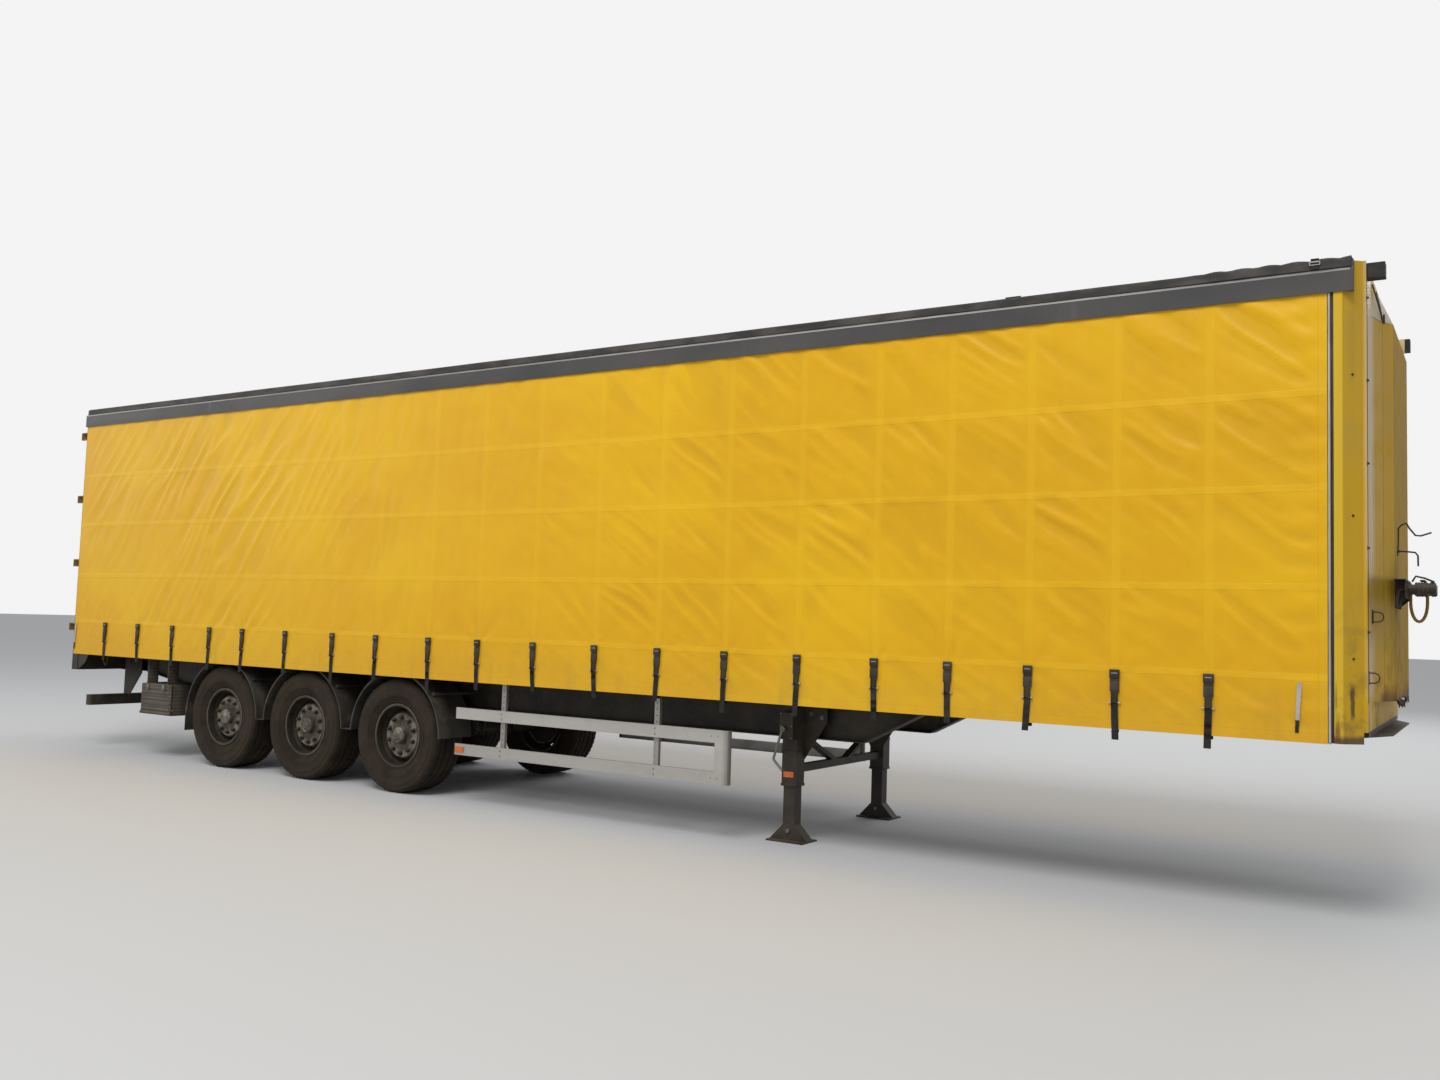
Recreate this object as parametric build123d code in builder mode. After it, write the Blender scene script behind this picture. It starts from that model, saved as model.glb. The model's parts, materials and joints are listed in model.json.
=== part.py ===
from build123d import *
from math import cos, radians, sin
import os

os.makedirs("parts", exist_ok=True)

# A three-axle curtain-sided semi trailer, in millimetres.
# X points to the towing vehicle, Y to the left and Z up; the ground is z = 0.
# The origin lies on the ground under the middle of the whole length and width.

# Overall body
curtain_length = 13400.0
roof_frame_top = 4000.0
curtain_bottom = 1093.0
curtain_half = 1275.0          # centre plane to the curtain's outer face
curtain_thickness = 8.0
seat = 0.3                     # gap left where a soft or fitted piece rests

# Floor and chassis
floor_top = 1240.0
floor_thickness = 28.0
flange_thickness = 10.0
web_thickness = 7.0
flange_width = 140.0
beam_y = 650.0                 # centre plane to each main beam
neck_bottom = 1138.0
belly_bottom = 800.0
tail_bottom = 905.0
cross_height = 50.0
cross_width = 45.0
cross_wall = 5.0
cross_count = 24
cross_start = 300.0            # first cross member ahead of the curtain's rear edge
cross_end = 220.0              # last cross member behind the curtain's front edge
rave_bottom = 1100.0
rave_flange = 72.0
rave_wall = 6.0
plate_thickness = 8.0          # rubbing plate over the towing vehicle's coupling

# Running gear
axle_places = [2802.0, 4115.0, 5446.0]     # forward of the curtain's rear edge
tyre_radius = 536.0
tyre_width = 385.0
bead_radius = 289.0
rim_flange_radius = 298.5
rim_half_width = 157.0
track = 2040.0
spindle_radius = 45.0
axle_tube_radius = 63.5
drum_radius = 214.0
drum_wall = 16.0
arch_radius = 600.0
arch_wall = 5.0
arch_gap = 15.0                # mudguards' edges beyond the tyres' walls
arch_foot = 550.0              # height of the flat feet between the arches
flap_bottom = 350.0

# Rear frame and doors
post_depth = 110.0
frame_back = 20.0              # rear frame's face behind the curtain's rear edge
post_inner = 1195.0
sill_bottom = 908.0
sill_step = 1092.7             # the sill is full width below this height
leaf_thickness = 30.0
leaf_bottom = 1205.0
leaf_drop = 105.0              # doors' top edge below the roof frame's top
moving_gap = 5.5
pin_back = 120.0               # hinge pins behind the curtain's rear edge
pin_y = 1257.0
pin_radius = 8.0
pin_play = 0.4
boss_radius = 16.0
hinge_count = 4
hinge_inset = 205.0            # first and last hinge from the door's lower and upper edges
hinge_height = 60.0
rod_radius = 13.5
rod_places = [300.0, 950.0]    # centre plane to each lock rod

# Front wall and couplings
wall_outer = 200.0             # front wall's outer face ahead of the curtain
wall_thickness = 40.0
wall_half = 1180.0
wall_bottom = 1170.0
nose_depth = 105.0
nose_sheet = 4.0
coupling_reach = 530.0         # tip of the longest coupling ahead of the curtain

# Landing legs and kingpin, measured back from the curtain's front edge
leg_setback = 3870.0
kingpin_setback = 1450.0
leg_tube = 130.0
leg_inner_tube = 104.0
leg_mount = 10.0

# Derived levels and places
hinge_reach = pin_back + boss_radius
tail = -(curtain_length + coupling_reach - hinge_reach) / 2
head = tail + curtain_length
floor_bottom = floor_top - floor_thickness
beam_top = floor_bottom
belly = belly_bottom
curtain_inner = curtain_half - curtain_thickness
rave_outer = curtain_inner - seat
rave_inner = rave_outer - rave_flange
cross_top = beam_top - flange_thickness
cross_bottom = cross_top - cross_height
cross_half = rave_outer - rave_wall - seat
cross_pitch = (curtain_length - cross_start - cross_end) / (cross_count - 1)
cross_places = [tail + cross_start + i * cross_pitch for i in range(cross_count)]
axle_z = tyre_radius
wheel_y = track / 2
arch_outer = wheel_y + tyre_width / 2 + arch_gap
frame_face = tail - frame_back
frame_front = frame_face + post_depth
wall_face = head + wall_outer
wall_back = wall_face - wall_thickness
plate_bottom = neck_bottom - plate_thickness
cantrail_bottom = roof_frame_top - 150.0
cantrail_inner = 1175.0
curtain_top = cantrail_bottom - 35.0
leaf_top = roof_frame_top - leaf_drop
hinge_pitch = (leaf_top - leaf_bottom - 2 * hinge_inset) / (hinge_count - 1)
hinge_heights = [leaf_bottom + hinge_inset + i * hinge_pitch for i in range(hinge_count)]
leg_x = head - leg_setback
kingpin_x = head - kingpin_setback
leg_inner_y = beam_y + flange_width / 2 + leg_mount
leg_y = leg_inner_y + leg_tube / 2
sides = [("right", -1), ("left", 1)]


def keep(part, label):
    part.label = label
    export_step(part, f"parts/{label}.step")


def keep_pair(left_part, label):
    """Writes a left-hand piece and its mirror image across the centre plane as one node."""
    keep(left_part + mirror(left_part, about=Plane.XZ, mode=Mode.PRIVATE), label)


def keep_sides(left_part, name):
    """Writes a left-hand piece and its mirror image as two nodes."""
    keep(left_part, f"{name}_left")
    keep(mirror(left_part, about=Plane.XZ, mode=Mode.PRIVATE), f"{name}_right")


def block(x_ends, y_ends, z_ends, mode=Mode.ADD):
    """Adds a box between two limits along each axis."""
    ends = (x_ends, y_ends, z_ends)
    middle = tuple((low + high) / 2 for low, high in ends)
    lengths = [abs(high - low) for low, high in ends]
    with Locations(middle):
        Box(*lengths, mode=mode)


def rod(start, end, radius, mode=Mode.ADD):
    """Adds a round bar between two points."""
    line = Vector(*end) - Vector(*start)
    with Locations(Plane(origin=start, z_dir=line)):
        Cylinder(radius, line.length, align=(Align.CENTER, Align.CENTER, Align.MIN), mode=mode)


# Main beams: welded I-beams with a shallow neck ahead of the landing legs
beam_rear = frame_front
beam_front = wall_back - 12.0
neck_reach = 1200.0            # level part of the neck behind the kingpin
neck_slope = 650.0
tail_reach = 620.0             # shallow tail ahead of the curtain's rear edge
tail_slope = 680.0
neck_end = kingpin_x - neck_reach
neck_start = neck_end - neck_slope
taper_start = tail + tail_reach
taper_end = taper_start + tail_slope
window_gap = 0.4
shaft_radius = 16.0
shaft_z = 930.0
shaft_hole = 24.0


beam_outline = [
    (beam_rear, beam_top), (beam_front, beam_top), (beam_front, neck_bottom),
    (neck_end, neck_bottom), (neck_start, belly), (taper_end, belly),
    (taper_start, tail_bottom), (beam_rear, tail_bottom),
]

with BuildPart() as main_beam:
    outside = -(beam_y + flange_width / 2)
    pocket_depth = (flange_width - web_thickness) / 2
    with BuildSketch(Plane.XZ.offset(outside)):
        Polygon(*beam_outline, align=None)
    extrude(amount=flange_width)
    for pocket_side in (outside, outside + pocket_depth + web_thickness):
        with BuildSketch(Plane.XZ.offset(pocket_side)):
            Polygon(*beam_outline, align=None)
            offset(amount=-flange_thickness, kind=Kind.INTERSECTION, mode=Mode.REPLACE)
        extrude(amount=pocket_depth, mode=Mode.SUBTRACT)
    with BuildSketch(Plane.XZ.offset(outside)):
        with Locations(*[(x, cross_top - cross_height / 2) for x in cross_places]):
            Rectangle(cross_width + 2 * window_gap, cross_height)
        with Locations((leg_x, shaft_z)):
            Circle(shaft_hole)
    extrude(amount=flange_width, mode=Mode.SUBTRACT)
keep_pair(main_beam.part, "main_beams")

# Cross members: channels that pass through the webs and end inside the side raves
with BuildPart() as cross_members:
    with BuildSketch(Plane.XZ.offset(-cross_half)):
        middle_z = cross_top - cross_height / 2
        with Locations(*[(x, middle_z) for x in cross_places]):
            Rectangle(cross_width, cross_height)
        with Locations(*[(x + cross_wall, middle_z) for x in cross_places]):
            Rectangle(cross_width, cross_height - 2 * cross_wall, mode=Mode.SUBTRACT)
    extrude(amount=2 * cross_half)
keep(cross_members.part, "cross_members")

# Side raves: channels along the floor's edges, open to the inside
rave_front = head
with BuildPart() as side_rave:
    with BuildSketch(Plane.YZ.offset(frame_front)):
        with BuildLine():
            Polyline(
                (rave_inner, rave_bottom), (rave_outer, rave_bottom), (rave_outer, floor_top),
                (rave_inner, floor_top), (rave_inner, floor_top - rave_wall),
                (rave_outer - rave_wall, floor_top - rave_wall),
                (rave_outer - rave_wall, rave_bottom + rave_wall),
                (rave_inner, rave_bottom + rave_wall), close=True,
            )
        make_face()
    extrude(amount=rave_front - frame_front)
keep_pair(side_rave.part, "side_raves")

# Load floor
floor_half = rave_inner - seat
sill_gap_y = 1120.0            # inner faces of the front corner posts
post_rear = head + 33.0
with BuildPart() as load_floor:
    block((frame_front, wall_back - seat), (-floor_half, floor_half), (floor_bottom, floor_top))
    for _, sign in sides:
        block(
            (post_rear - seat, wall_back), (sign * (sill_gap_y - seat), sign * curtain_half),
            (floor_bottom, floor_top), mode=Mode.SUBTRACT,
        )
keep(load_floor.part, "load_floor")

# Rubbing plate with its chamfered front lip, and the kingpin below it
plate_half = 620.0
plate_rear = kingpin_x - 1050.0
kingpin_flange = 60.0
lip_rear = head - 60.0
lip_side = 1115.0
lip_side_end = head + 150.0
lip_front = wall_face + 100.0
lip_front_half = 720.0
with BuildPart() as rubbing_plate:
    with BuildSketch(Plane.XY.offset(plate_bottom)) as plate_plan:
        with BuildLine() as plate_edge:
            Polyline(
                (plate_rear, 0), (plate_rear, plate_half - 120.0), (plate_rear + 160.0, plate_half),
                (lip_rear - 240.0, plate_half), (lip_rear, lip_side), (lip_side_end, lip_side),
                (lip_front, lip_front_half), (lip_front, 0),
            )
            mirror(about=Plane.XZ)
        make_face()
        with Locations((kingpin_x, 0)):
            Circle(kingpin_flange + seat, mode=Mode.SUBTRACT)
    extrude(amount=plate_thickness)
keep(rubbing_plate.part, "rubbing_plate")

# Kingpin table, downwards from the plate: depth at the section's end, radius.
# The flange fills a hole in the plate, so that the pin stands on the plate's lower face.
kingpin_sections = [(35.0, 36.5), (64.0, 25.4), (84.0, 35.7)]
with BuildPart() as kingpin:
    with Locations((kingpin_x, 0, plate_bottom)):
        Cylinder(kingpin_flange, plate_thickness, align=(Align.CENTER, Align.CENTER, Align.MIN))
    top = 0.0
    for depth, radius in kingpin_sections:
        with Locations((kingpin_x, 0, plate_bottom - top)):
            Cylinder(radius, depth - top, align=(Align.CENTER, Align.CENTER, Align.MAX))
        top = depth
    chamfer(kingpin.edges().group_by(Axis.Z)[0], 3.0)
keep(kingpin.part, "kingpin")

# Front sill under the front wall
with BuildPart() as front_sill:
    block((beam_front, wall_face), (-sill_gap_y + seat, sill_gap_y - seat), (neck_bottom, wall_bottom))
    block((beam_front, wall_back), (-sill_gap_y + seat, sill_gap_y - seat), (wall_bottom, floor_bottom))
keep(front_sill.part, "front_sill")

# Front wall panel
with BuildPart() as front_wall:
    block((wall_back, wall_face), (-wall_half, wall_half), (wall_bottom, roof_frame_top - 2.0))
keep(front_wall.part, "front_wall")

# Raised nose on the front wall: a folded sheet, open below and hipped at its top
nose_plan = [(0.0, 910.0), (0.5, 720.0), (1.0, 600.0)]     # share of the depth, half width
nose_bottom = 1340.0
nose_shoulder = roof_frame_top - 280.0
nose_top = roof_frame_top - 50.0


def nose_outline(depth, narrowing, inset):
    half = [
        (wall_face + share * depth - inset * (share > 0), y - narrowing - inset)
        for share, y in nose_plan
    ]
    return [*half, *[(x, -y) for x, y in reversed(half)]]


with BuildPart() as nose_panel:
    hip_depth = 12.0
    hip_narrowing = 110.0
    with BuildSketch(Plane.XY.offset(nose_bottom)):
        Polygon(*nose_outline(nose_depth, 0.0, 0.0), align=None)
    extrude(amount=nose_shoulder - nose_bottom)
    with BuildSketch(Plane.XY.offset(nose_shoulder)):
        Polygon(*nose_outline(nose_depth, 0.0, 0.0), align=None)
    with BuildSketch(Plane.XY.offset(nose_top)):
        Polygon(*nose_outline(hip_depth, hip_narrowing, 0.0), align=None)
    loft(ruled=True)
    with BuildSketch(Plane.XY.offset(nose_bottom)):
        Polygon(*nose_outline(nose_depth, 0.0, nose_sheet), align=None)
    extrude(amount=nose_shoulder - nose_bottom, mode=Mode.SUBTRACT)
keep(nose_panel.part, "nose_panel")

# Front corner posts with a bevelled outer edge
post_foot = rave_bottom
post_side_end = head + 79.0
post_front = head + 180.0
cantrail_front = head + 130.0
with BuildPart() as front_post:
    with BuildSketch(Plane.XY.offset(post_foot)):
        with BuildLine():
            Polyline(
                (post_rear, sill_gap_y), (post_rear, curtain_half), (post_side_end, curtain_half),
                (post_front, wall_half + seat), (wall_back - seat, wall_half + seat),
                (wall_back - seat, sill_gap_y), close=True,
            )
        make_face()
    extrude(amount=roof_frame_top - 2.0 - post_foot)
    block(
        (post_rear, cantrail_front + seat), (cantrail_inner - 60.0, curtain_half + 1.0),
        (cantrail_bottom - seat, roof_frame_top), mode=Mode.SUBTRACT,
    )
keep_pair(front_post.part, "front_posts")

# Tension poles that hold the curtains' front edges
pole_radius = 8.0
with BuildPart() as tension_poles:
    for _, sign in sides:
        pole = (head + seat + pole_radius, sign * (curtain_half - 1.0 - pole_radius))
        rod((*pole, curtain_bottom + 2.0), (*pole, cantrail_bottom - seat), pole_radius)
keep(tension_poles.part, "tension_poles")

# Rear posts with the hinge ears and pins of the doors
post_wall = 5.0
ear_thickness = 12.0
ear_gap = 1.0
with BuildPart() as rear_post:
    post_y = (post_inner + rave_outer) / 2
    with BuildSketch(Plane.XY.offset(sill_step)):
        with Locations((frame_face + post_depth / 2, post_y)):
            Rectangle(post_depth, rave_outer - post_inner)
            Rectangle(
                post_depth - 2 * post_wall, rave_outer - post_inner - 2 * post_wall,
                mode=Mode.SUBTRACT,
            )
    extrude(amount=cantrail_bottom - seat - sill_step)
    for height in hinge_heights:
        ear_reach = hinge_height / 2 + ear_gap
        for level in (height - ear_reach - ear_thickness, height + ear_reach):
            with BuildSketch(Plane.XY.offset(level)):
                with Locations((tail - pin_back, pin_y)):
                    Circle(boss_radius)
                with Locations(((frame_face + tail - pin_back) / 2, pin_y)):
                    Rectangle(pin_back - frame_back, 2 * boss_radius)
            extrude(amount=ear_thickness)
        reach = ear_reach + ear_thickness
        rod((tail - pin_back, pin_y, height - reach), (tail - pin_back, pin_y, height + reach), pin_radius)
keep_pair(rear_post.part, "rear_posts")

# Lock rod cams reach down and up to keepers on the sill and the header
cam_half = 12.0
cam_gap = 10.0
cheek = 8.0
rod_x = frame_face - moving_gap - leaf_thickness - 6.0 - rod_radius
cam_levels = (leaf_bottom - 55.0, leaf_top + 55.0)
cam_height = 30.0


def keepers(level):
    for _, sign in sides:
        for place in rod_places:
            for step in (-1, 1):
                inner = sign * place + step * (cam_half + cam_gap)
                block(
                    (rod_x - cam_half - 3.0, frame_face), (inner, inner + step * cheek),
                    (level - cam_height / 2 - 5.0, level + cam_height / 2 + 5.0),
                )


# Rear sill: full width below the posts, with side gussets and lamp recesses
lamp_inner = 760.0
lamp_outer = 1200.0
lamp_low = 930.0
lamp_high = 1075.0
lamp_depth = 28.0
gusset_reach = 300.0
with BuildPart() as rear_sill:
    block((frame_face, frame_front), (-post_inner + seat, post_inner - seat), (sill_step, floor_top))
    block((frame_face, frame_front - seat), (-rave_outer, rave_outer), (sill_bottom, sill_step))
    for _, sign in sides:
        block(
            (frame_face, frame_face + lamp_depth), (sign * lamp_inner, sign * lamp_outer),
            (lamp_low, lamp_high), mode=Mode.SUBTRACT,
        )
        with BuildSketch(Plane.XZ.offset(-sign * (rave_outer - 6.0))):
            with BuildLine():
                Polyline(
                    (frame_front - seat, sill_bottom), (frame_front - seat, sill_step),
                    (tail + gusset_reach, sill_step), (tail + gusset_reach - 60.0, sill_bottom + 90.0),
                    close=True,
                )
            make_face()
        extrude(amount=6.0 * sign)
    keepers(cam_levels[0])
keep(rear_sill.part, "rear_sill")

# Rear header between the cantrails
with BuildPart() as rear_header:
    block(
        (frame_face, frame_front), (-cantrail_inner + seat, cantrail_inner - seat),
        (cantrail_bottom, roof_frame_top - seat),
    )
    keepers(cam_levels[1])
keep(rear_header.part, "rear_header")

# Rear lamps, one cluster in each end of the sill
with BuildPart() as rear_lamps:
    for _, sign in sides:
        block(
            (frame_face - 4.0, frame_face + lamp_depth - seat),
            (sign * (lamp_inner + 3.0), sign * (lamp_outer - 3.0)), (lamp_low + 3.0, lamp_high - 3.0),
        )
keep(rear_lamps.part, "rear_lamps")

# Cantrails: hollow extrusions with a lip outside the curtain's top edge, and a ledge
# above which they stand back to take the roof sheet's hem
cantrail_outer = curtain_half + 10.0
hem_seat = cantrail_outer - 23.0
ledge_low = cantrail_bottom + 75.0
ledge_high = ledge_low + 20.0
lip_bottom = curtain_top - 15.0
lip_thickness = 6.0
rail_wall = 4.0
with BuildPart() as cantrail:
    with BuildSketch(Plane.YZ.offset(frame_face)):
        with BuildLine():
            Polyline(
                (cantrail_inner, cantrail_bottom), (cantrail_inner, roof_frame_top),
                (hem_seat, roof_frame_top), (hem_seat, ledge_high), (cantrail_outer, ledge_low),
                (cantrail_outer, lip_bottom), (cantrail_outer - lip_thickness, lip_bottom),
                (cantrail_outer - lip_thickness, cantrail_bottom), close=True,
            )
        make_face()
        with BuildLine():
            Polyline(
                (cantrail_inner + rail_wall, cantrail_bottom + rail_wall),
                (cantrail_inner + rail_wall, roof_frame_top - rail_wall),
                (hem_seat - rail_wall, roof_frame_top - rail_wall),
                (hem_seat - rail_wall, ledge_high - rail_wall),
                (cantrail_outer - rail_wall, ledge_low - rail_wall),
                (cantrail_outer - rail_wall, cantrail_bottom + rail_wall), close=True,
            )
        make_face(mode=Mode.SUBTRACT)
    extrude(amount=cantrail_front - frame_face)
keep_pair(cantrail.part, "cantrails")

# Roof bows and the roof sheet over them
bow_count = 19
bow_start = 480.0              # first bow ahead of the curtain's rear edge
bow_end = 500.0                # last bow behind the curtain's front edge
bow_width = 40.0
bow_height = 25.0
bow_wall = 3.0
with BuildPart() as roof_bows:
    with BuildSketch(Plane.XZ.offset(-cantrail_inner + seat)):
        bow_pitch = (curtain_length - bow_start - bow_end) / (bow_count - 1)
        bow_places = [tail + bow_start + i * bow_pitch for i in range(bow_count)]
        with Locations(*[(x, roof_frame_top - bow_height / 2) for x in bow_places]):
            Rectangle(bow_width, bow_height)
        with Locations(*[(x, roof_frame_top - bow_height / 2 - bow_wall) for x in bow_places]):
            Rectangle(bow_width - 2 * bow_wall, bow_height, mode=Mode.SUBTRACT)
    extrude(amount=2 * (cantrail_inner - seat))
keep(roof_bows.part, "roof_bows")

roof_sheet_thickness = 12.0
hem_thickness = 6.0
hem_bottom = ledge_high + 8.0
with BuildPart() as roof_sheet:
    hem_inner = hem_seat + seat
    hem_outer = hem_inner + hem_thickness
    sheet_top = roof_frame_top + seat + roof_sheet_thickness
    block((tail - 10.0, cantrail_front), (-hem_outer, hem_outer), (hem_bottom, sheet_top))
    block(
        (tail - 10.0, cantrail_front), (-hem_inner, hem_inner), (hem_bottom, roof_frame_top + seat),
        mode=Mode.SUBTRACT,
    )
    top_edges = roof_sheet.edges().filter_by(Axis.X).group_by(Axis.Z)[-1]
    chamfer(top_edges, hem_thickness - 1.0)
keep(roof_sheet.part, "roof_sheet")

# Sliding pillars behind the curtains, and the slats between them
pillar_places = [share * curtain_length for share in (0.254, 0.5, 0.75)]
pillar_width = 100.0
pillar_inner = 1200.0
slat_inner = 1215.0
slat_thickness = 25.0
slat_height = 120.0
slat_pitch = 500.0
slat_levels = [floor_top + 320.0 + i * slat_pitch for i in range(4)]
with BuildPart() as pillars:
    with BuildSketch(Plane.XY.offset(floor_top)):
        with Locations(*[(tail + x, (pillar_inner + rave_outer - 5.0) / 2) for x in pillar_places]):
            Rectangle(pillar_width, rave_outer - 5.0 - pillar_inner)
    extrude(amount=cantrail_bottom - floor_top - seat)
keep_pair(pillars.part, "pillars")

with BuildPart() as slats:
    bay_edges = [frame_front, *[tail + x for x in pillar_places], post_rear]
    for low, high in zip(bay_edges, bay_edges[1:]):
        start = low + seat + (pillar_width / 2 if low != frame_front else 0.0)
        end = high - seat - (pillar_width / 2 if high != post_rear else 0.0)
        for level in slat_levels:
            block(
                (start, end), (slat_inner, slat_inner + slat_thickness),
                (level - slat_height / 2, level + slat_height / 2),
            )
keep_pair(slats.part, "side_slats")

# Curtains: sheets from the rear post to the tension pole
with BuildPart() as curtain:
    block((tail, head), (curtain_inner, curtain_half), (curtain_bottom, curtain_top))
keep_sides(curtain.part, "curtain")

# Curtain straps with over-centre buckles, hooked under the raves.
# Their places are in thousandths of the curtain's length from its rear edge.
strap_shares = [
    47.9, 96.2, 145.0, 194.6, 236.6, 288.4, 341.8, 388.2, 440.9, 487.1,
    536.2, 586.9, 635.4, 683.4, 731.9, 779.4, 821.5, 864.3, 907.2, 950.1,
]
strap_width = 48.0
strap_thickness = 3.0
strap_top = 1480.0
buckle_low = 1255.0
buckle_high = 1455.0
buckle_depth = 18.0
hook_bottom = 1075.0
hook_inner = 1245.0
with BuildPart() as straps:
    strap_face = curtain_half + seat
    for share in strap_shares:
        x = tail + share / 1000 * curtain_length
        span = (x - strap_width / 2, x + strap_width / 2)
        block(span, (strap_face, strap_face + strap_thickness), (hook_bottom, strap_top))
        block(span, (strap_face, strap_face + buckle_depth), (buckle_low, buckle_high))
        block(span, (hook_inner, strap_face), (hook_bottom, hook_bottom + strap_thickness))
        block(span, (hook_inner, hook_inner + strap_thickness), (hook_bottom, rave_bottom - seat))
keep_pair(straps.part, "curtain_straps")

# Rear door leaves of ribbed planks, with the hinge straps that reach the pins
leaf_inner_x = frame_face - moving_gap
leaf_outer_x = leaf_inner_x - leaf_thickness
leaf_edge = pin_y - boss_radius - moving_gap
strap_plate = 8.0
plank_count = 10
groove = 6.0
with BuildPart() as door:
    block((leaf_outer_x, leaf_inner_x), (moving_gap + 1.0, leaf_edge), (leaf_bottom, leaf_top))
    for i in range(1, plank_count):
        level = leaf_bottom + i * (leaf_top - leaf_bottom) / plank_count
        block(
            (leaf_outer_x, leaf_outer_x + groove / 2), (moving_gap + 1.0, leaf_edge),
            (level - groove / 2, level + groove / 2), mode=Mode.SUBTRACT,
        )
    for height in hinge_heights:
        with BuildSketch(Plane.XY.offset(height - hinge_height / 2)):
            with BuildLine():
                Polyline(
                    (leaf_outer_x, leaf_edge - 240.0), (leaf_outer_x, leaf_edge - 6.0),
                    (tail - pin_back + 6.0, pin_y + boss_radius - 2.0),
                    (tail - pin_back - 6.0, pin_y - boss_radius + 2.0),
                    (leaf_outer_x - strap_plate, leaf_edge - 26.0),
                    (leaf_outer_x - strap_plate, leaf_edge - 240.0), close=True,
                )
            make_face()
            with Locations((tail - pin_back, pin_y)):
                Circle(boss_radius)
                Circle(pin_radius + pin_play, mode=Mode.SUBTRACT)
        extrude(amount=hinge_height)
keep_sides(door.part, "door")

# Lock rods with guides, cams and handles
guide_levels = [leaf_bottom + 95.0, leaf_bottom + 895.0, leaf_bottom + 1695.0, leaf_top - 115.0]
handle_levels = [1640.0, 1580.0]
handle_length = 390.0
with BuildPart() as lock_rods:
    for place, level, step in zip(rod_places, handle_levels, (1, -1)):
        rod((rod_x, place, cam_levels[0]), (rod_x, place, cam_levels[1]), rod_radius)
        for cam in cam_levels:
            block(
                (rod_x - cam_half, rod_x + cam_half), (place - cam_half, place + cam_half),
                (cam - cam_height / 2, cam + cam_height / 2),
            )
        for guide in guide_levels:
            block(
                (rod_x - rod_radius - 3.0, leaf_outer_x), (place - 26.0, place + 26.0),
                (guide - 20.0, guide + 20.0),
            )
        block(
            (rod_x - 6.0, rod_x + 6.0), (place, place + step * handle_length), (level - 16.0, level + 16.0),
        )
        block(
            (rod_x - 6.0, leaf_outer_x), (place + step * 300.0, place + step * 340.0),
            (level - 24.0, level + 24.0),
        )
keep_sides(lock_rods.part, "lock_rods")

# Tyres: rings of flat faces. Columns: radius, distance from the wheel's centre plane.
bead_half = 146.0
bead_end = bead_half - seat
widest = 430.0                 # radius where the side walls bulge most
shoulder = (16.0, 42.0)        # drop from the tread, width of the shoulder
tyre_facets = 48
half_tread = tyre_width / 2 - shoulder[1]
tyre_side = [
    (tyre_radius, half_tread), (tyre_radius - shoulder[0], tyre_width / 2 - shoulder[0]),
    (widest, tyre_width / 2), (rim_flange_radius + 3.0, bead_end), (bead_radius, bead_end),
]
tyre_section = [*[(radius, -out) for radius, out in reversed(tyre_side)], *tyre_side]


def faceted_ring(centre, section, facets):
    """A ring about the Y direction whose flats touch the section's radii, one flat lowest."""
    stretch = 1 / cos(radians(180.0 / facets))
    angles = [radians((i + 0.5) * 360.0 / facets) for i in range(facets)]
    loops = []
    for radius, out in section:
        spokes = [Vector(cos(angle), 0, sin(angle)) * (radius * stretch) for angle in angles]
        loops.append([Vector(*centre) + spoke + Vector(0, out, 0) for spoke in spokes])
    faces = []
    for near, far in zip(loops, [*loops[1:], loops[0]]):
        for i in range(facets):
            j = (i + 1) % facets
            faces.append(Face(Wire.make_polygon([near[i], near[j], far[j], far[i]])))
    return Solid(Shell(faces))


for side, sign in sides:
    for number, place in enumerate(axle_places, start=1):
        with BuildPart() as tyre:
            add(faceted_ring((tail + place, sign * wheel_y, axle_z), tyre_section, tyre_facets))
        keep(tyre.part, f"tyre_{side}_{number}")

# Wheels: rim, dished disc, hub and brake drum in one turned section.
# Columns: radius, distance outboard of the wheel's centre plane.
rim_seat = bead_radius - seat
disc_face = 97.0
hub_bore = spindle_radius + 0.6
hand_hole = 14.0                # radius of the holes through the disc's slope
hand_hole_circle = 233.0
hand_hole_count = 10
wheel_section = [
    (0.0, 150.0), (66.0, 150.0), (78.0, 138.0), (78.0, disc_face), (204.0, disc_face),
    (252.0, 34.0), (276.0, 84.0), (276.0, rim_half_width), (rim_flange_radius, rim_half_width),
    (rim_flange_radius, bead_half + 2.0), (rim_seat, bead_half), (rim_seat, 84.0),
    (266.0, 40.0), (266.0, -60.0), (rim_seat, -100.0), (rim_seat, -bead_half),
    (rim_flange_radius, -bead_half - 2.0), (rim_flange_radius, -rim_half_width),
    (276.0, -rim_half_width), (276.0, -104.0), (254.0, -66.0), (254.0, 18.0),
    (drum_radius, 70.0), (drum_radius, -115.0), (drum_radius - drum_wall, -115.0),
    (drum_radius - drum_wall, 70.0), (110.0, 70.0), (78.0, -60.0), (hub_bore, -60.0),
    (hub_bore, 62.0), (0.0, 62.0),
]
for side, sign in sides:
    for number, place in enumerate(axle_places, start=1):
        centre = (tail + place, sign * wheel_y, axle_z)
        with BuildPart() as wheel:
            with BuildSketch(Plane(origin=centre)):
                with BuildLine():
                    Polyline(*[(r, sign * out) for r, out in wheel_section], close=True)
                make_face()
            revolve(axis=Axis(centre, (0, 1, 0)))
            with Locations(Plane(origin=centre, z_dir=(0, sign, 0))):
                with PolarLocations(hand_hole_circle, hand_hole_count):
                    Cylinder(
                        hand_hole, rim_half_width, align=(Align.CENTER, Align.CENTER, Align.MIN),
                        mode=Mode.SUBTRACT,
                    )
        keep(wheel.part, f"wheel_{side}_{number}")

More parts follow.
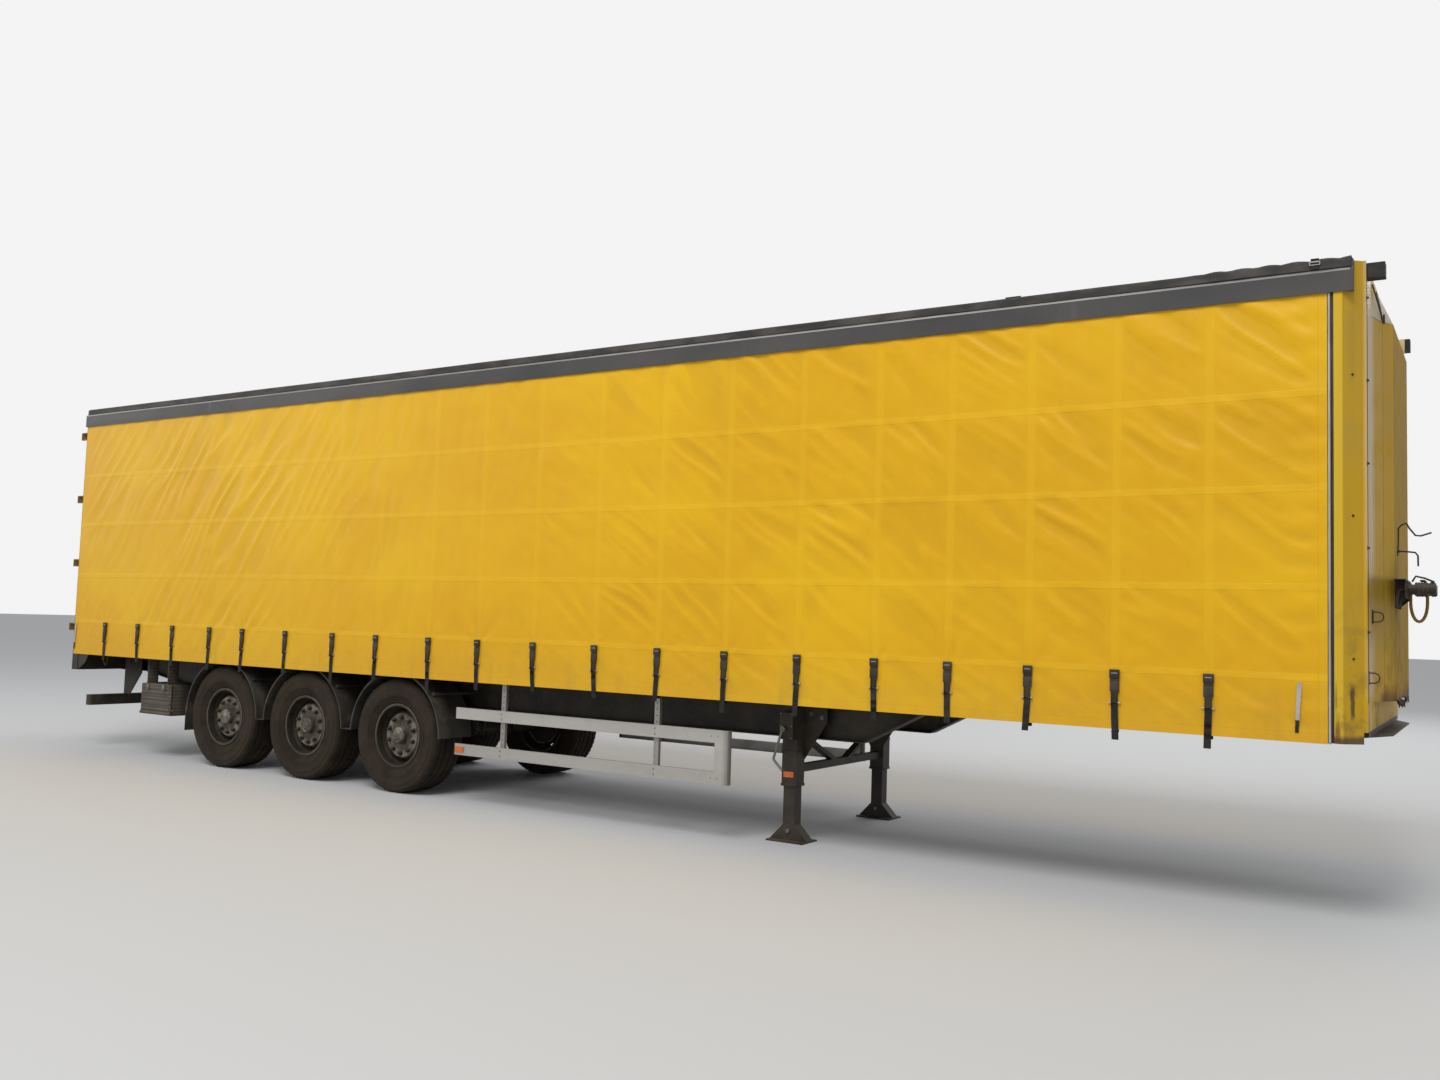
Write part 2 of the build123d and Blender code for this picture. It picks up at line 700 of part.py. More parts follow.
# Axles: tube, spindles, brake plates, saddles for the arms and chamber brackets
saddle_half = 55.0
arm_half = 45.0
arm_bottom = axle_z + axle_tube_radius + 0.5
chamber_y = 400.0
chamber_z = axle_z + 150.0
chamber_plate = 10.0
chamber_offset = 90.0
with BuildPart() as axles:
    for place in axle_places:
        x = tail + place
        rod((x, -wheel_y + 120.0, axle_z), (x, wheel_y - 120.0, axle_z), axle_tube_radius)
        rod((x, -wheel_y - 60.0, axle_z), (x, wheel_y + 60.0, axle_z), spindle_radius)
        for _, sign in sides:
            plate_in = sign * (wheel_y - 120.0)
            rod((x, plate_in, axle_z), (x, plate_in + sign * 8.0, axle_z), drum_radius - drum_wall - 6.0)
            block(
                (x - saddle_half, x + saddle_half), (sign * (beam_y - arm_half), sign * (beam_y + arm_half)),
                (axle_z - 40.0, arm_bottom),
            )
            block(
                (x + chamber_offset - chamber_plate, x + chamber_offset),
                (sign * (chamber_y - 70.0), sign * (chamber_y + 70.0)), (axle_z - 20.0, chamber_z + 70.0),
            )
            block(
                (x, x + chamber_offset), (sign * (chamber_y - 12.0), sign * (chamber_y + 12.0)),
                (axle_z - 20.0, axle_z + 60.0),
            )
keep(axles.part, "axles")

# Brake chambers on the axle brackets
with BuildPart() as brake_chambers:
    for place in axle_places:
        for _, sign in sides:
            front = tail + place + chamber_offset
            low = (front, sign * chamber_y, chamber_z)
            rod(low, (front + 90.0, *low[1:]), 82.0)
            rod((front + 90.0, *low[1:]), (front + 210.0, *low[1:]), 66.0)
keep(brake_chambers.part, "brake_chambers")

# Suspension hangers under the beams, each with its pivot pin
pivot_ahead = 500.0
pivot_z = 623.0
hanger_pin = 15.0
cheek_thickness = 10.0
with BuildPart() as hangers:
    for place in axle_places:
        x = tail + place + pivot_ahead
        for _, sign in sides:
            for step in (-1, 1):
                near = sign * beam_y + step * (arm_half + 0.5)
                with BuildSketch(Plane.XZ.offset(-near)):
                    with BuildLine():
                        Polyline(
                            (x - 110.0, belly), (x + 110.0, belly), (x + 65.0, pivot_z - 60.0),
                            (x - 65.0, pivot_z - 60.0), close=True,
                        )
                    make_face()
                extrude(amount=-step * cheek_thickness)
            pin_half = arm_half + 0.5 + cheek_thickness
            rod(
                (x, sign * beam_y - pin_half, pivot_z), (x, sign * beam_y + pin_half, pivot_z), hanger_pin,
            )
keep(hangers.part, "hangers")

# Trailing arms from the hangers over the axles to the air springs
arm_thickness = 46.0
eye_radius = 46.0
spring_behind = 380.0
spring_seat = 600.0
spring_seat_radius = 105.0
with BuildPart() as trailing_arms:
    for place in axle_places:
        x = tail + place
        for _, sign in sides:
            outer = sign * beam_y - arm_half
            with BuildSketch(Plane.XZ.offset(-outer)):
                with BuildLine():
                    Polyline(
                        (x + pivot_ahead, arm_bottom), (x + pivot_ahead, arm_bottom + arm_thickness),
                        (x - 70.0, arm_bottom + arm_thickness), (x - 250.0, spring_seat),
                        (x - spring_behind - 110.0, spring_seat),
                        (x - spring_behind - 110.0, spring_seat - 26.0),
                        (x - 230.0, spring_seat - 26.0), (x - 80.0, arm_bottom), close=True,
                    )
                make_face()
                with Locations((x + pivot_ahead, pivot_z)):
                    Circle(eye_radius)
                    Circle(hanger_pin + 0.5, mode=Mode.SUBTRACT)
            extrude(amount=-2 * arm_half)
            rod(
                (x - spring_behind, sign * beam_y, spring_seat - 10.0),
                (x - spring_behind, sign * beam_y, spring_seat), spring_seat_radius,
            )
keep(trailing_arms.part, "trailing_arms")

# Air springs: rolling bags on pistons. Columns: radius, height above the seat.
bag_section = [(0.0, 0.0), (96.0, 0.0), (102.0, 48.0), (128.0, 56.0), (140.0, 80.0)]
with BuildPart() as air_springs:
    for place in axle_places:
        for _, sign in sides:
            base = (tail + place - spring_behind, sign * beam_y, spring_seat + seat)
            bag_top = belly - spring_seat - 2 * seat
            with BuildSketch(Plane.XZ.offset(-base[1])):
                with BuildLine():
                    Polyline(
                        *[(base[0] + r, base[2] + up) for r, up in bag_section],
                        (base[0] + 138.0, base[2] + bag_top - 30.0), (base[0] + 110.0, base[2] + bag_top),
                        (base[0], base[2] + bag_top), close=True,
                    )
                make_face()
            revolve(axis=Axis(base, (0, 0, 1)))
keep(air_springs.part, "air_springs")

# Mudguards: three thin half arches a side with rolled outer rims, flat feet and a rear flap
rim_roll = 10.0
rim_roll_width = 18.0
bracket_radius = 17.0
bracket_angles = (42.0, 138.0)
flap_thickness = 8.0


def arch_faces(inner, outer):
    """Half rings over the wheels, flattened where they pass under the side rave."""
    centres = [(tail + place, axle_z) for place in axle_places]
    ring_top = rave_bottom - seat
    for radius, top, mode in ((outer, ring_top, Mode.ADD), (inner, ring_top + inner - outer, Mode.SUBTRACT)):
        band = Rectangle(
            curtain_length, top - arch_foot, align=(Align.CENTER, Align.MIN), mode=Mode.PRIVATE,
        )
        band = Pos(tail + axle_places[1], arch_foot) * band
        for centre in centres:
            ring = Pos(*centre) * Circle(radius, mode=Mode.PRIVATE)
            add(ring & band, mode=mode)


with BuildPart() as mudguards:
    with BuildSketch(Plane.XZ.offset(-arch_outer)):
        arch_faces(arch_radius, arch_radius + arch_wall)
        foot_reach = (arch_radius ** 2 - (arch_foot - axle_z) ** 2) ** 0.5
        for low, high in zip(axle_places, axle_places[1:]):
            foot_ends = (tail + low + foot_reach, tail + high - foot_reach)
            with Locations((sum(foot_ends) / 2, arch_foot + arch_wall / 2)):
                Rectangle(foot_ends[1] - foot_ends[0], arch_wall)
        flap_x = tail + axle_places[0] - foot_reach - flap_thickness / 2
        with Locations((flap_x, (flap_bottom + arch_foot + 60.0) / 2)):
            Rectangle(flap_thickness, arch_foot + 60.0 - flap_bottom)
    extrude(amount=tyre_width + 2 * arch_gap)
    with BuildSketch(Plane.XZ.offset(-arch_outer)):
        arch_faces(arch_radius - rim_roll, arch_radius + arch_wall)
    extrude(amount=rim_roll_width)
    for place in axle_places:
        for angle in bracket_angles:
            reach = arch_radius + arch_wall + bracket_radius - 1.5
            x = tail + place + reach * cos(radians(angle))
            z = axle_z + reach * sin(radians(angle))
            rod((x, beam_y + web_thickness / 2 + seat, z), (x, arch_outer - 40.0, z), bracket_radius)
keep_pair(mudguards.part, "mudguards")

# Side guards: two channel rails joined by a curled front cap, on uprights from the rave
guard_outer = curtain_half - 35.0
guard_depth = 25.0
guard_wall = 3.0
rail_height = 100.0
rail_levels = [433.0, 757.0]
guard_rear = tail + axle_places[-1] + 824.0
guard_front = leg_x - 400.0
cap_radius = 60.0
upright_places = [guard_rear + 550.0, guard_front - 640.0]
upright_width = 50.0
upright_depth = 30.0
upright_hole = 6.0
hole_pitch = 50.0
upright_spans = [
    (rail_levels[0] + rail_height, rail_levels[1]), (rail_levels[1] + rail_height, rave_bottom),
]
with BuildPart() as side_guard:
    for level in rail_levels:
        block(
            (guard_rear, guard_front), (guard_outer - guard_depth, guard_outer),
            (level, level + rail_height),
        )
        block(
            (guard_rear, guard_front), (guard_outer - guard_depth, guard_outer - guard_wall),
            (level + guard_wall, level + rail_height - guard_wall), mode=Mode.SUBTRACT,
        )
    with BuildSketch(Plane.XY.offset(rail_levels[0])):
        with Locations((guard_front, guard_outer - cap_radius)):
            Circle(cap_radius)
            Circle(cap_radius - guard_wall, mode=Mode.SUBTRACT)
            Rectangle(cap_radius, 2 * cap_radius, align=(Align.MAX, Align.CENTER), mode=Mode.SUBTRACT)
            Rectangle(2 * cap_radius, cap_radius, align=(Align.CENTER, Align.MAX), mode=Mode.SUBTRACT)
        with Locations((guard_front - 30.0, guard_outer - guard_wall / 2)):
            Rectangle(60.0, guard_wall)
        with Locations((guard_front - 30.0, guard_outer - guard_depth + guard_wall / 2)):
            Rectangle(60.0, guard_wall)
    extrude(amount=rail_levels[1] + rail_height - rail_levels[0])
    for x in upright_places:
        back = guard_outer - guard_depth
        block(
            (x - upright_width / 2, x + upright_width / 2), (back - upright_depth, back),
            (rail_levels[0], rave_bottom - seat),
        )
        block(
            (x - upright_width / 2 + guard_wall, x + upright_width / 2 - guard_wall),
            (back - upright_depth, back - guard_wall), (rail_levels[0], rave_bottom - seat),
            mode=Mode.SUBTRACT,
        )
        with BuildSketch(Plane.XZ.offset(-back)):
            for low, high in upright_spans:
                count = int((high - low) / hole_pitch)
                with Locations(*[(x, low + hole_pitch * (i + 0.5)) for i in range(count)]):
                    Circle(upright_hole)
        extrude(amount=guard_wall, mode=Mode.SUBTRACT)
keep_pair(side_guard.part, "side_guards")

# Landing legs: outer tube on its mounting plate, inner tube and flared foot
leg_top = 1130.0
outer_tube_bottom = 430.0
foot_height = 130.0
foot_half = 165.0
foot_width = 240.0
foot_plate = 12.0
mount_rear = leg_x - 160.0
mount_front = leg_x + 260.0
with BuildPart() as landing_leg:
    tube_half = leg_tube / 2
    inner_half = leg_inner_tube / 2
    block(
        (leg_x - tube_half, leg_x + tube_half), (leg_y - tube_half, leg_y + tube_half),
        (outer_tube_bottom, leg_top),
    )
    block(
        (leg_x - inner_half, leg_x + inner_half), (leg_y - inner_half, leg_y + inner_half),
        (foot_plate, leg_top),
    )
    with BuildSketch(Plane.XZ.offset(-leg_y - inner_half)):
        with BuildLine():
            Polyline(
                (leg_x - foot_half, foot_plate), (leg_x - inner_half, foot_height),
                (leg_x + inner_half, foot_height), (leg_x + foot_half, foot_plate), close=True,
            )
        make_face()
    extrude(amount=leg_inner_tube)
    block(
        (leg_x - foot_half, leg_x + foot_half), (leg_y - foot_width / 2, leg_y + foot_width / 2),
        (0.0, foot_plate),
    )
    with BuildSketch(Plane.XZ.offset(-leg_inner_y)):
        with BuildLine():
            Polyline(
                (mount_rear, leg_top), (mount_front, leg_top), (mount_front, leg_top - 190.0),
                (leg_x + tube_half, 640.0), (leg_x - tube_half, 640.0),
                (mount_rear, leg_top - 250.0), close=True,
            )
        make_face()
    extrude(amount=leg_mount - seat)
keep_pair(landing_leg.part, "landing_legs")

# Cross brace and drive shaft between the legs
brace_z = 560.0
brace_size = 60.0
brace_half = leg_inner_y - leg_mount - seat
with BuildPart() as leg_brace:
    half = brace_size / 2
    block(
        (leg_x - half, leg_x + half), (-leg_inner_y + seat, leg_inner_y - seat),
        (brace_z - half, brace_z + half),
    )
    for _, sign in sides:
        with BuildSketch(Plane.YZ.offset(leg_x - half)):
            with BuildLine():
                Polyline(
                    (sign * 30.0, brace_z), (sign * 110.0, brace_z),
                    (sign * beam_y, belly), (sign * (beam_y - 75.0), belly), close=True,
                )
            make_face()
        extrude(amount=brace_size)
keep(leg_brace.part, "leg_brace")

with BuildPart() as leg_shaft:
    rod((leg_x, -leg_inner_y + leg_mount, shaft_z), (leg_x, leg_inner_y - leg_mount, shaft_z), shaft_radius)
keep(leg_shaft.part, "leg_shaft")

# Gearbox on the right leg and its folded crank
gear_depth = 60.0
gear_outer = leg_y + leg_tube / 2
crank_radius = 9.0
with BuildPart() as leg_gear:
    block((leg_x - 62.0, leg_x + 58.0), (-gear_outer - gear_depth, -gear_outer), (800.0, 1010.0))
    crank_y = -gear_outer - gear_depth - 30.0
    with BuildLine():
        crank_path = FilletPolyline(
            (leg_x - 20.0, -gear_outer - gear_depth + 5.0, 880.0), (leg_x - 20.0, crank_y, 880.0),
            (leg_x - 95.0, crank_y, 640.0), (leg_x - 10.0, crank_y, 560.0), radius=26.0,
        )
    with BuildSketch(Plane(origin=crank_path @ 0, z_dir=crank_path % 0)):
        Circle(crank_radius)
    sweep()
keep(leg_gear.part, "leg_gear")

# Rear underrun bar on two hanging plates
bar_low = 500.0
bar_high = 620.0
bar_rear = tail + 190.0
bar_depth = 100.0
bar_half = 1200.0
hang_plate = 12.0
with BuildPart() as underrun_bar:
    block((bar_rear, bar_rear + bar_depth), (-bar_half, bar_half), (bar_low, bar_high))
    fillet(underrun_bar.edges().filter_by(Axis.Z), 30.0)
    for _, sign in sides:
        face = sign * (beam_y + flange_width / 2 + seat)
        with BuildSketch(Plane.XZ.offset(-face)):
            with BuildLine():
                Polyline(
                    (tail + 200.0, bar_high - 40.0), (tail + 200.0, 1050.0), (tail + 540.0, 1050.0),
                    (tail + 540.0, 880.0), (bar_rear + bar_depth, bar_high - 40.0), close=True,
                )
            make_face()
        extrude(amount=-sign * hang_plate)
keep(underrun_bar.part, "underrun_bar")

# Air tanks under the cross members, turned with domed ends.
# Columns: distance in from the tank's end, share of its radius.
tank_radius = 123.0
tank_y = 330.0
dome = [(0.0, 0.0), (0.0, 0.45), (18.0, 0.82), (45.0, 1.0)]
saddle_places = (cross_places[12], cross_places[13])
tank_z = cross_bottom - 40.0 - tank_radius
with BuildPart() as air_tanks:
    ends = (saddle_places[0] - 170.0, saddle_places[1] + 170.0)
    for _, sign in sides:
        with BuildSketch(Plane.XY.offset(tank_z)):
            with BuildLine():
                rear_half = [
                    (ends[0] + inward, sign * (tank_y + share * tank_radius)) for inward, share in dome
                ]
                front_half = [(ends[0] + ends[1] - x, y) for x, y in reversed(rear_half)]
                Polyline(*rear_half, *front_half, close=True)
            make_face()
        revolve(axis=Axis((0, sign * tank_y, tank_z), (1, 0, 0)))
        for x in saddle_places:
            block(
                (x - 20.0, x + 20.0), (sign * tank_y - 90.0, sign * tank_y + 90.0),
                (tank_z, cross_bottom - seat),
            )
keep(air_tanks.part, "air_tanks")

# Tool box behind the right rear wheel: ribbed shell and a lid hinged along its lower edge
box_front = tail + axle_places[0] - arch_radius - 302.0
box_rear = box_front - 580.0
box_low = 476.0
box_high = 818.0
box_inner = 800.0
box_outer = 1190.0
box_wall = 6.0
lid_thickness = 22.0
lid_round = lid_thickness / 2
hinge_y = -box_outer - moving_gap - lid_round
hinge_z = box_low + lid_round + 2.0
hinge_pin = 4.0
hinge_ear = 8.0
ear_half = 9.0
lid_rear = box_rear + hinge_ear + moving_gap
lid_front = box_front - hinge_ear - moving_gap
hang_places = (box_rear + 100.0, box_front - 100.0)
with BuildPart() as tool_box:
    block((box_rear, box_front), (-box_outer, -box_inner), (box_low, box_high))
    fillet(tool_box.edges().filter_by(Axis.Y), 25.0)
    block(
        (box_rear + box_wall, box_front - box_wall), (-box_outer, -box_inner - box_wall),
        (box_low + box_wall, box_high - box_wall), mode=Mode.SUBTRACT,
    )
    for x in hang_places:
        block((x - 20.0, x + 20.0), (-box_outer, -box_inner - 20.0), (box_high - 1.0, box_high + 8.0))
        block(
            (x - 20.0, x + 20.0), (-rave_outer + 10.0, -rave_inner),
            (rave_bottom - seat - 8.0, rave_bottom - seat),
        )
        block((x - 4.0, x + 4.0), (-rave_inner - 8.0, -rave_inner + 120.0), (box_high, rave_bottom - seat))
    for x in (box_rear, box_front - hinge_ear):
        block(
            (x, x + hinge_ear), (hinge_y - ear_half, -box_outer + 12.0),
            (hinge_z - ear_half, hinge_z + ear_half),
        )
    rod((box_rear, hinge_y, hinge_z), (box_front, hinge_y, hinge_z), hinge_pin)
keep(tool_box.part, "tool_box")

# Lid: its rounded lower edge turns on the box's hinge pin
lid_rib = 8.0
rib_count = 5
with BuildPart() as tool_box_lid:
    lid_in = -box_outer - moving_gap
    block((lid_rear, lid_front), (lid_in - lid_thickness + lid_rib, lid_in), (hinge_z, box_high - 2.0))
    block((lid_rear, lid_front), (lid_in - lid_thickness, lid_in), (hinge_z, hinge_z + 25.0))
    rod((lid_rear, hinge_y, hinge_z), (lid_front, hinge_y, hinge_z), lid_round)
    for i in range(rib_count):
        level = box_low + 68.0 + i * 60.0
        block(
            (lid_rear + 20.0, lid_front - 20.0), (lid_in - lid_thickness, lid_in),
            (level - 14.0, level + 14.0),
        )
    rod((box_rear, hinge_y, hinge_z), (box_front, hinge_y, hinge_z), hinge_pin + 0.5, mode=Mode.SUBTRACT)
keep(tool_box_lid.part, "tool_box_lid")

# Coupling bracket on the nose: a folded shelf on a back plate, with a gusset at each end.
# Columns: place across, radius, reach ahead of the bracket.
bracket_back = wall_face + nose_depth + seat
bracket_front = head + 372.0
bracket_low = 1985.0
bracket_high = 2100.0
bracket_sheet = 5.0
back_plate_ends = (-590.0, -260.0)
back_plate_low = bracket_low - 60.0
shelf_ends = (-715.0, -260.0)
neck_shares = (0.35, 0.72)     # necks of the couplings: shares of their reach and radius
couplings = [(-650.0, 34.0, 158.0), (-540.0, 42.0, 110.0), (-430.0, 42.0, 110.0), (-320.0, 34.0, 150.0)]
with BuildPart() as coupling_bracket:
    block((bracket_back, bracket_front), shelf_ends, (bracket_high - bracket_sheet, bracket_high))
    block((bracket_front - bracket_sheet, bracket_front), shelf_ends, (bracket_low, bracket_high))
    block((bracket_back, bracket_back + bracket_sheet), back_plate_ends, (back_plate_low, bracket_high))
    for y in (back_plate_ends[0] + bracket_sheet, back_plate_ends[1]):
        with BuildSketch(Plane.XZ.offset(-y)):
            Polygon(
                (bracket_back, back_plate_low), (bracket_back, bracket_high),
                (bracket_front, bracket_high), (bracket_front, bracket_low), align=None,
            )
        extrude(amount=bracket_sheet)
    for y, radius, reach in couplings:
        middle = (y, (bracket_low + bracket_high) / 2)
        neck_x = bracket_front + neck_shares[0] * reach
        rod((bracket_front - 1.0, *middle), (neck_x, *middle), neck_shares[1] * radius)
        rod((neck_x, *middle), (bracket_front + reach, *middle), radius)
keep(coupling_bracket.part, "coupling_bracket")

# Rubber buffers at the front wall's upper corners
with BuildPart() as front_buffers:
    for _, sign in sides:
        block(
            (wall_face, wall_face + 100.0), (sign * (wall_half - 120.0), sign * (wall_half - 30.0)),
            (roof_frame_top - 100.0, roof_frame_top - 10.0),
        )
keep(front_buffers.part, "front_buffers")

# Side reflectors on the guard rails and the legs
with BuildPart() as side_reflectors:
    for _, sign in sides:
        block(
            (guard_rear + 10.0, guard_rear + 110.0), (sign * guard_outer, sign * (guard_outer + 10.0)),
            (rail_levels[0] + 25.0, rail_levels[0] + 75.0),
        )
        block(
            (leg_x - 45.0, leg_x + 45.0), (sign * gear_outer, sign * (gear_outer + 10.0)),
            (500.0, 545.0),
        )
keep(side_reflectors.part, "side_reflectors")
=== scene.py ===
import bmesh
import bpy
import json
import random
from itertools import product
from math import atan2, cos, exp, hypot, pi, radians, sin, tan
from mathutils import Matrix, Vector, noise


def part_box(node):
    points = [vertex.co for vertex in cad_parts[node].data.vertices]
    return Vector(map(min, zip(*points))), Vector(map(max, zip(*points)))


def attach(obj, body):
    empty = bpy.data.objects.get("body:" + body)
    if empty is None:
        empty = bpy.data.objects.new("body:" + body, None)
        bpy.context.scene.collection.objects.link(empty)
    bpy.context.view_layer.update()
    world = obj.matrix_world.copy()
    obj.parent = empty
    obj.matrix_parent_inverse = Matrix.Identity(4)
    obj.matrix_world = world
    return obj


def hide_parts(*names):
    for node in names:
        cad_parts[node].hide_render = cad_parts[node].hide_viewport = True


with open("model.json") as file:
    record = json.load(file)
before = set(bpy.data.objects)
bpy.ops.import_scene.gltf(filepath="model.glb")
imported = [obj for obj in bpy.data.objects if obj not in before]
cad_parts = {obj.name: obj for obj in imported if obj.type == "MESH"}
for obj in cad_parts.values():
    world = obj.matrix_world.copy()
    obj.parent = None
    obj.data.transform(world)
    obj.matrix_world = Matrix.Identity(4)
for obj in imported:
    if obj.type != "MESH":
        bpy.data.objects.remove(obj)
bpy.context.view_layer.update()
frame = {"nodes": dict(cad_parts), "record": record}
nodes = frame["nodes"]
random.seed(7)
sides = {"right": -1, "left": 1}
both, asGiven = (-1, 1), (1,)

# where the curtains end, how high their hem and upper edge are, and the faces of the wall, nose and guards
curtainLow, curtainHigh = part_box("curtain_right")
rearX, frontX = curtainLow.x, curtainHigh.x
hemZ, lipZ = curtainLow.z, curtainHigh.z
curtainFace = -curtainLow.y
curtainLength = frontX - rearX
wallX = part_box("front_wall")[1].x
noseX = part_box("nose_panel")[1].x
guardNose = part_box("side_guards")[1].x
axleCentres = []
for number in (1, 2, 3):
    tyreLow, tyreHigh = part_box(f"tyre_right_{number}")
    axleCentres.append((tyreLow + tyreHigh) / 2)
print("frame loaded:", len(nodes), "nodes")


# shader maths: a socket that takes part in Python expressions
class Socket:
    def __init__(self, finish, output):
        self.finish, self.output = finish, output

    def maths(self, operation, *others):
        return self.finish.node("ShaderNodeMath", {"operation": operation}, dict(enumerate((self, *others))))

    def __add__(self, other):
        return self.maths("ADD", other)

    def __sub__(self, other):
        return self.maths("SUBTRACT", other)

    def __mul__(self, other):
        return self.maths("MULTIPLY", other)

    def __rsub__(self, other):
        return self * -1 + other

    def __abs__(self):
        return self.maths("ABSOLUTE")

    __radd__ = __add__
    __rmul__ = __mul__

    # 0 at low, 1 at high, eased between; low may be the larger
    def fade(self, low, high):
        return self.finish.node("ShaderNodeMapRange", {"interpolation_type": "SMOOTHSTEP"}, {
            "Value": self, "From Min": low, "From Max": high,
        })

    # 1 within one distance of a value, 0 beyond the other
    def near(self, value, beyond, within):
        return abs(self - value).fade(beyond, within)


# a material whose colour starts from one tone and takes stains over it
class Finish:
    def __init__(self, name, body, roughness, specular=0.5, metallic=0.0, coat=0.0):
        self.material = bpy.data.materials.new(name)
        self.material.use_nodes = True
        self.tree = self.material.node_tree
        self.shader = self.tree.nodes["Principled BSDF"]
        self.feed({"Base Color": body, "Roughness": roughness, "Specular IOR Level": specular,
                   "Metallic": metallic, "Coat Weight": coat, "Coat Roughness": 0.06})
        self.place = self.node("ShaderNodeTexCoord", out="Object")
        self.x, self.y, self.z = (
            self.node("ShaderNodeSeparateXYZ", {}, {0: self.place}, out=axis) for axis in "XYZ"
        )
        self.body = body

    # every node comes from here: its settings first, then what its sockets hold or are linked to
    def node(self, kind, settings={}, sockets={}, out=0):
        made = self.tree.nodes.new(kind)
        for name, value in settings.items():
            setattr(made, name, value)
        self.feed(sockets, made)
        return Socket(self, made.outputs[out])

    def feed(self, sockets, node=None):
        for name, value in sockets.items():
            entry = (node or self.shader).inputs[name]
            if isinstance(value, Socket):
                self.tree.links.new(value.output, entry)
            else:
                entry.default_value = (*value, 1) if entry.type == "RGBA" else value

    def noise(self, scale, detail, stretch=(1, 1, 1)):
        at = self.node("ShaderNodeMapping", {}, {"Vector": self.place, "Scale": stretch})
        return self.node("ShaderNodeTexNoise", {}, {
            "Vector": at, "Scale": scale, "Detail": detail, "Roughness": 0.55,
        })

    def cells(self, scale, out="Distance"):
        return self.node("ShaderNodeTexVoronoi", {}, {"Vector": self.place, "Scale": scale}, out)

    def attribute(self, name):
        return self.node("ShaderNodeAttribute", {"attribute_name": name}, out="Fac")

    def upward(self):
        normal = self.node("ShaderNodeNewGeometry", out="Normal")
        return self.node("ShaderNodeSeparateXYZ", {}, {0: normal}, out="Z")

    def blend(self, factor, first, second):
        return self.node("ShaderNodeMix", {"data_type": "RGBA"}, {0: factor, 6: first, 7: second}, out=2)

    def stain(self, factor, colour):
        self.body = self.blend(factor, self.body, colour)

    # the colour, a bump and any other varying input reach the shader
    def done(self, height, distance, strength=0.5, **others):
        bump = self.node("ShaderNodeBump", {}, {
            "Height": height, "Distance": distance, "Strength": strength,
        })
        self.feed({"Base Color": self.body, "Normal": bump, **others})
        return self.material


roadDust = (0.17, 0.135, 0.1)
rustBrown = (0.13, 0.045, 0.018)


# yellow coated fabric: welded seams across, webs up and down, dust near the hem, painted shade in the fold
# hollows and under the seams
tarp = {"yellow": (0.83, 0.47, 0.0035), "pale": (0.88, 0.545, 0.014), "deep": (0.77, 0.405, 0.0025),
        "seams": (1.48, 2.02, 2.62, 3.2), "seamWidth": 0.038, "stain": (0.42, 0.27, 0.03),
        "stitchAndShade": (0.5, 0.27, 0.004), "webHalf": 0.026, "hemLine": 0.06, "frontLine": 0.052}


def tarpFinish():
    skin = Finish("curtain tarp", tarp["deep"], 0.44, 0.3)
    skin.stain(skin.noise(0.55, 3, (1, 1, 1.6)).fade(0.35, 0.68), tarp["yellow"])
    skin.stain(skin.noise(9, 5).fade(0.42, 0.75) * 0.18, tarp["pale"])
    seam, stitchAndShade, half = 0.0, 0.0, tarp["seamWidth"] / 2
    for height in tarp["seams"]:
        seam = skin.z.near(height, half + 0.003, half) + seam
        # a thin dark line under each seam: stitching with painted shade of the seam's edge
        stitchAndShade = skin.z.near(height - half - 0.004, 0.005, 0.001) + stitchAndShade
    web = skin.attribute("webOffset").fade(tarp["webHalf"] + 0.004, tarp["webHalf"] - 0.002)
    web = web * skin.z.fade(lipZ - 0.02, lipZ - 0.12)
    web = web * (skin.x.fade(rearX + 1.0, rearX + 9.0) * 0.8 + 0.2)
    skin.stain(seam * 0.26 + web * 0.2, tarp["pale"])
    hem = skin.z.near(hemZ + tarp["hemLine"], 0.004, 0.001)
    front = skin.x.near(frontX - tarp["frontLine"], 0.004, 0.001)
    # painted shade in the fold hollows, taken from the curtain's fold depth
    foldShade = skin.attribute("foldHeight").fade(0.0005, -0.004)
    skin.stain(stitchAndShade * 0.1 + hem * 0.22 + front * 0.28 + foldShade * 0.2, tarp["stitchAndShade"])
    streaks = skin.noise(5, 4, (1, 1, 0.12)).fade(0.52, 0.72)
    low = skin.z.fade(hemZ + 0.5, hemZ)
    top = skin.z.fade(lipZ - 0.35, lipZ)
    skin.stain(streaks * (low * 0.25 + top * 0.12 + 0.03), tarp["stain"])
    skin.stain(low * skin.noise(14, 5) * 0.2, roadDust)
    height = skin.cells(420) * 0.04 + skin.noise(6, 5, (1, 1, 0.6)) * 0.5 + seam * 0.3 + web * 0.25
    return skin.done(height, 0.004, Roughness=skin.noise(3, 4) * 0.14 + low * 0.12 + 0.36)


# yellow paint on steel, dirtier and chipped towards its lower edge, a painted reflection on the wall beside
# the corner posts, and a painted highlight on the posts' outward sides
paint = {"yellow": (0.59, 0.345, 0.012), "faded": (0.5, 0.315, 0.04), "dirt": (0.11, 0.08, 0.04),
         "bright": (0.69, 0.44, 0.024), "paintedGlare": (0.66, 0.565, 0.43), "foot": (0.085, 0.055, 0.035),
         "shade": (0.26, 0.145, 0.008), "hip": (0.5, 0.45, 0.33), "sootAndShadow": (0.115, 0.085, 0.025),
         "scrape": (0.05, 0.038, 0.025), "hinges": (0.09, 0.045, 0.016), "hipHeight": 0.23}


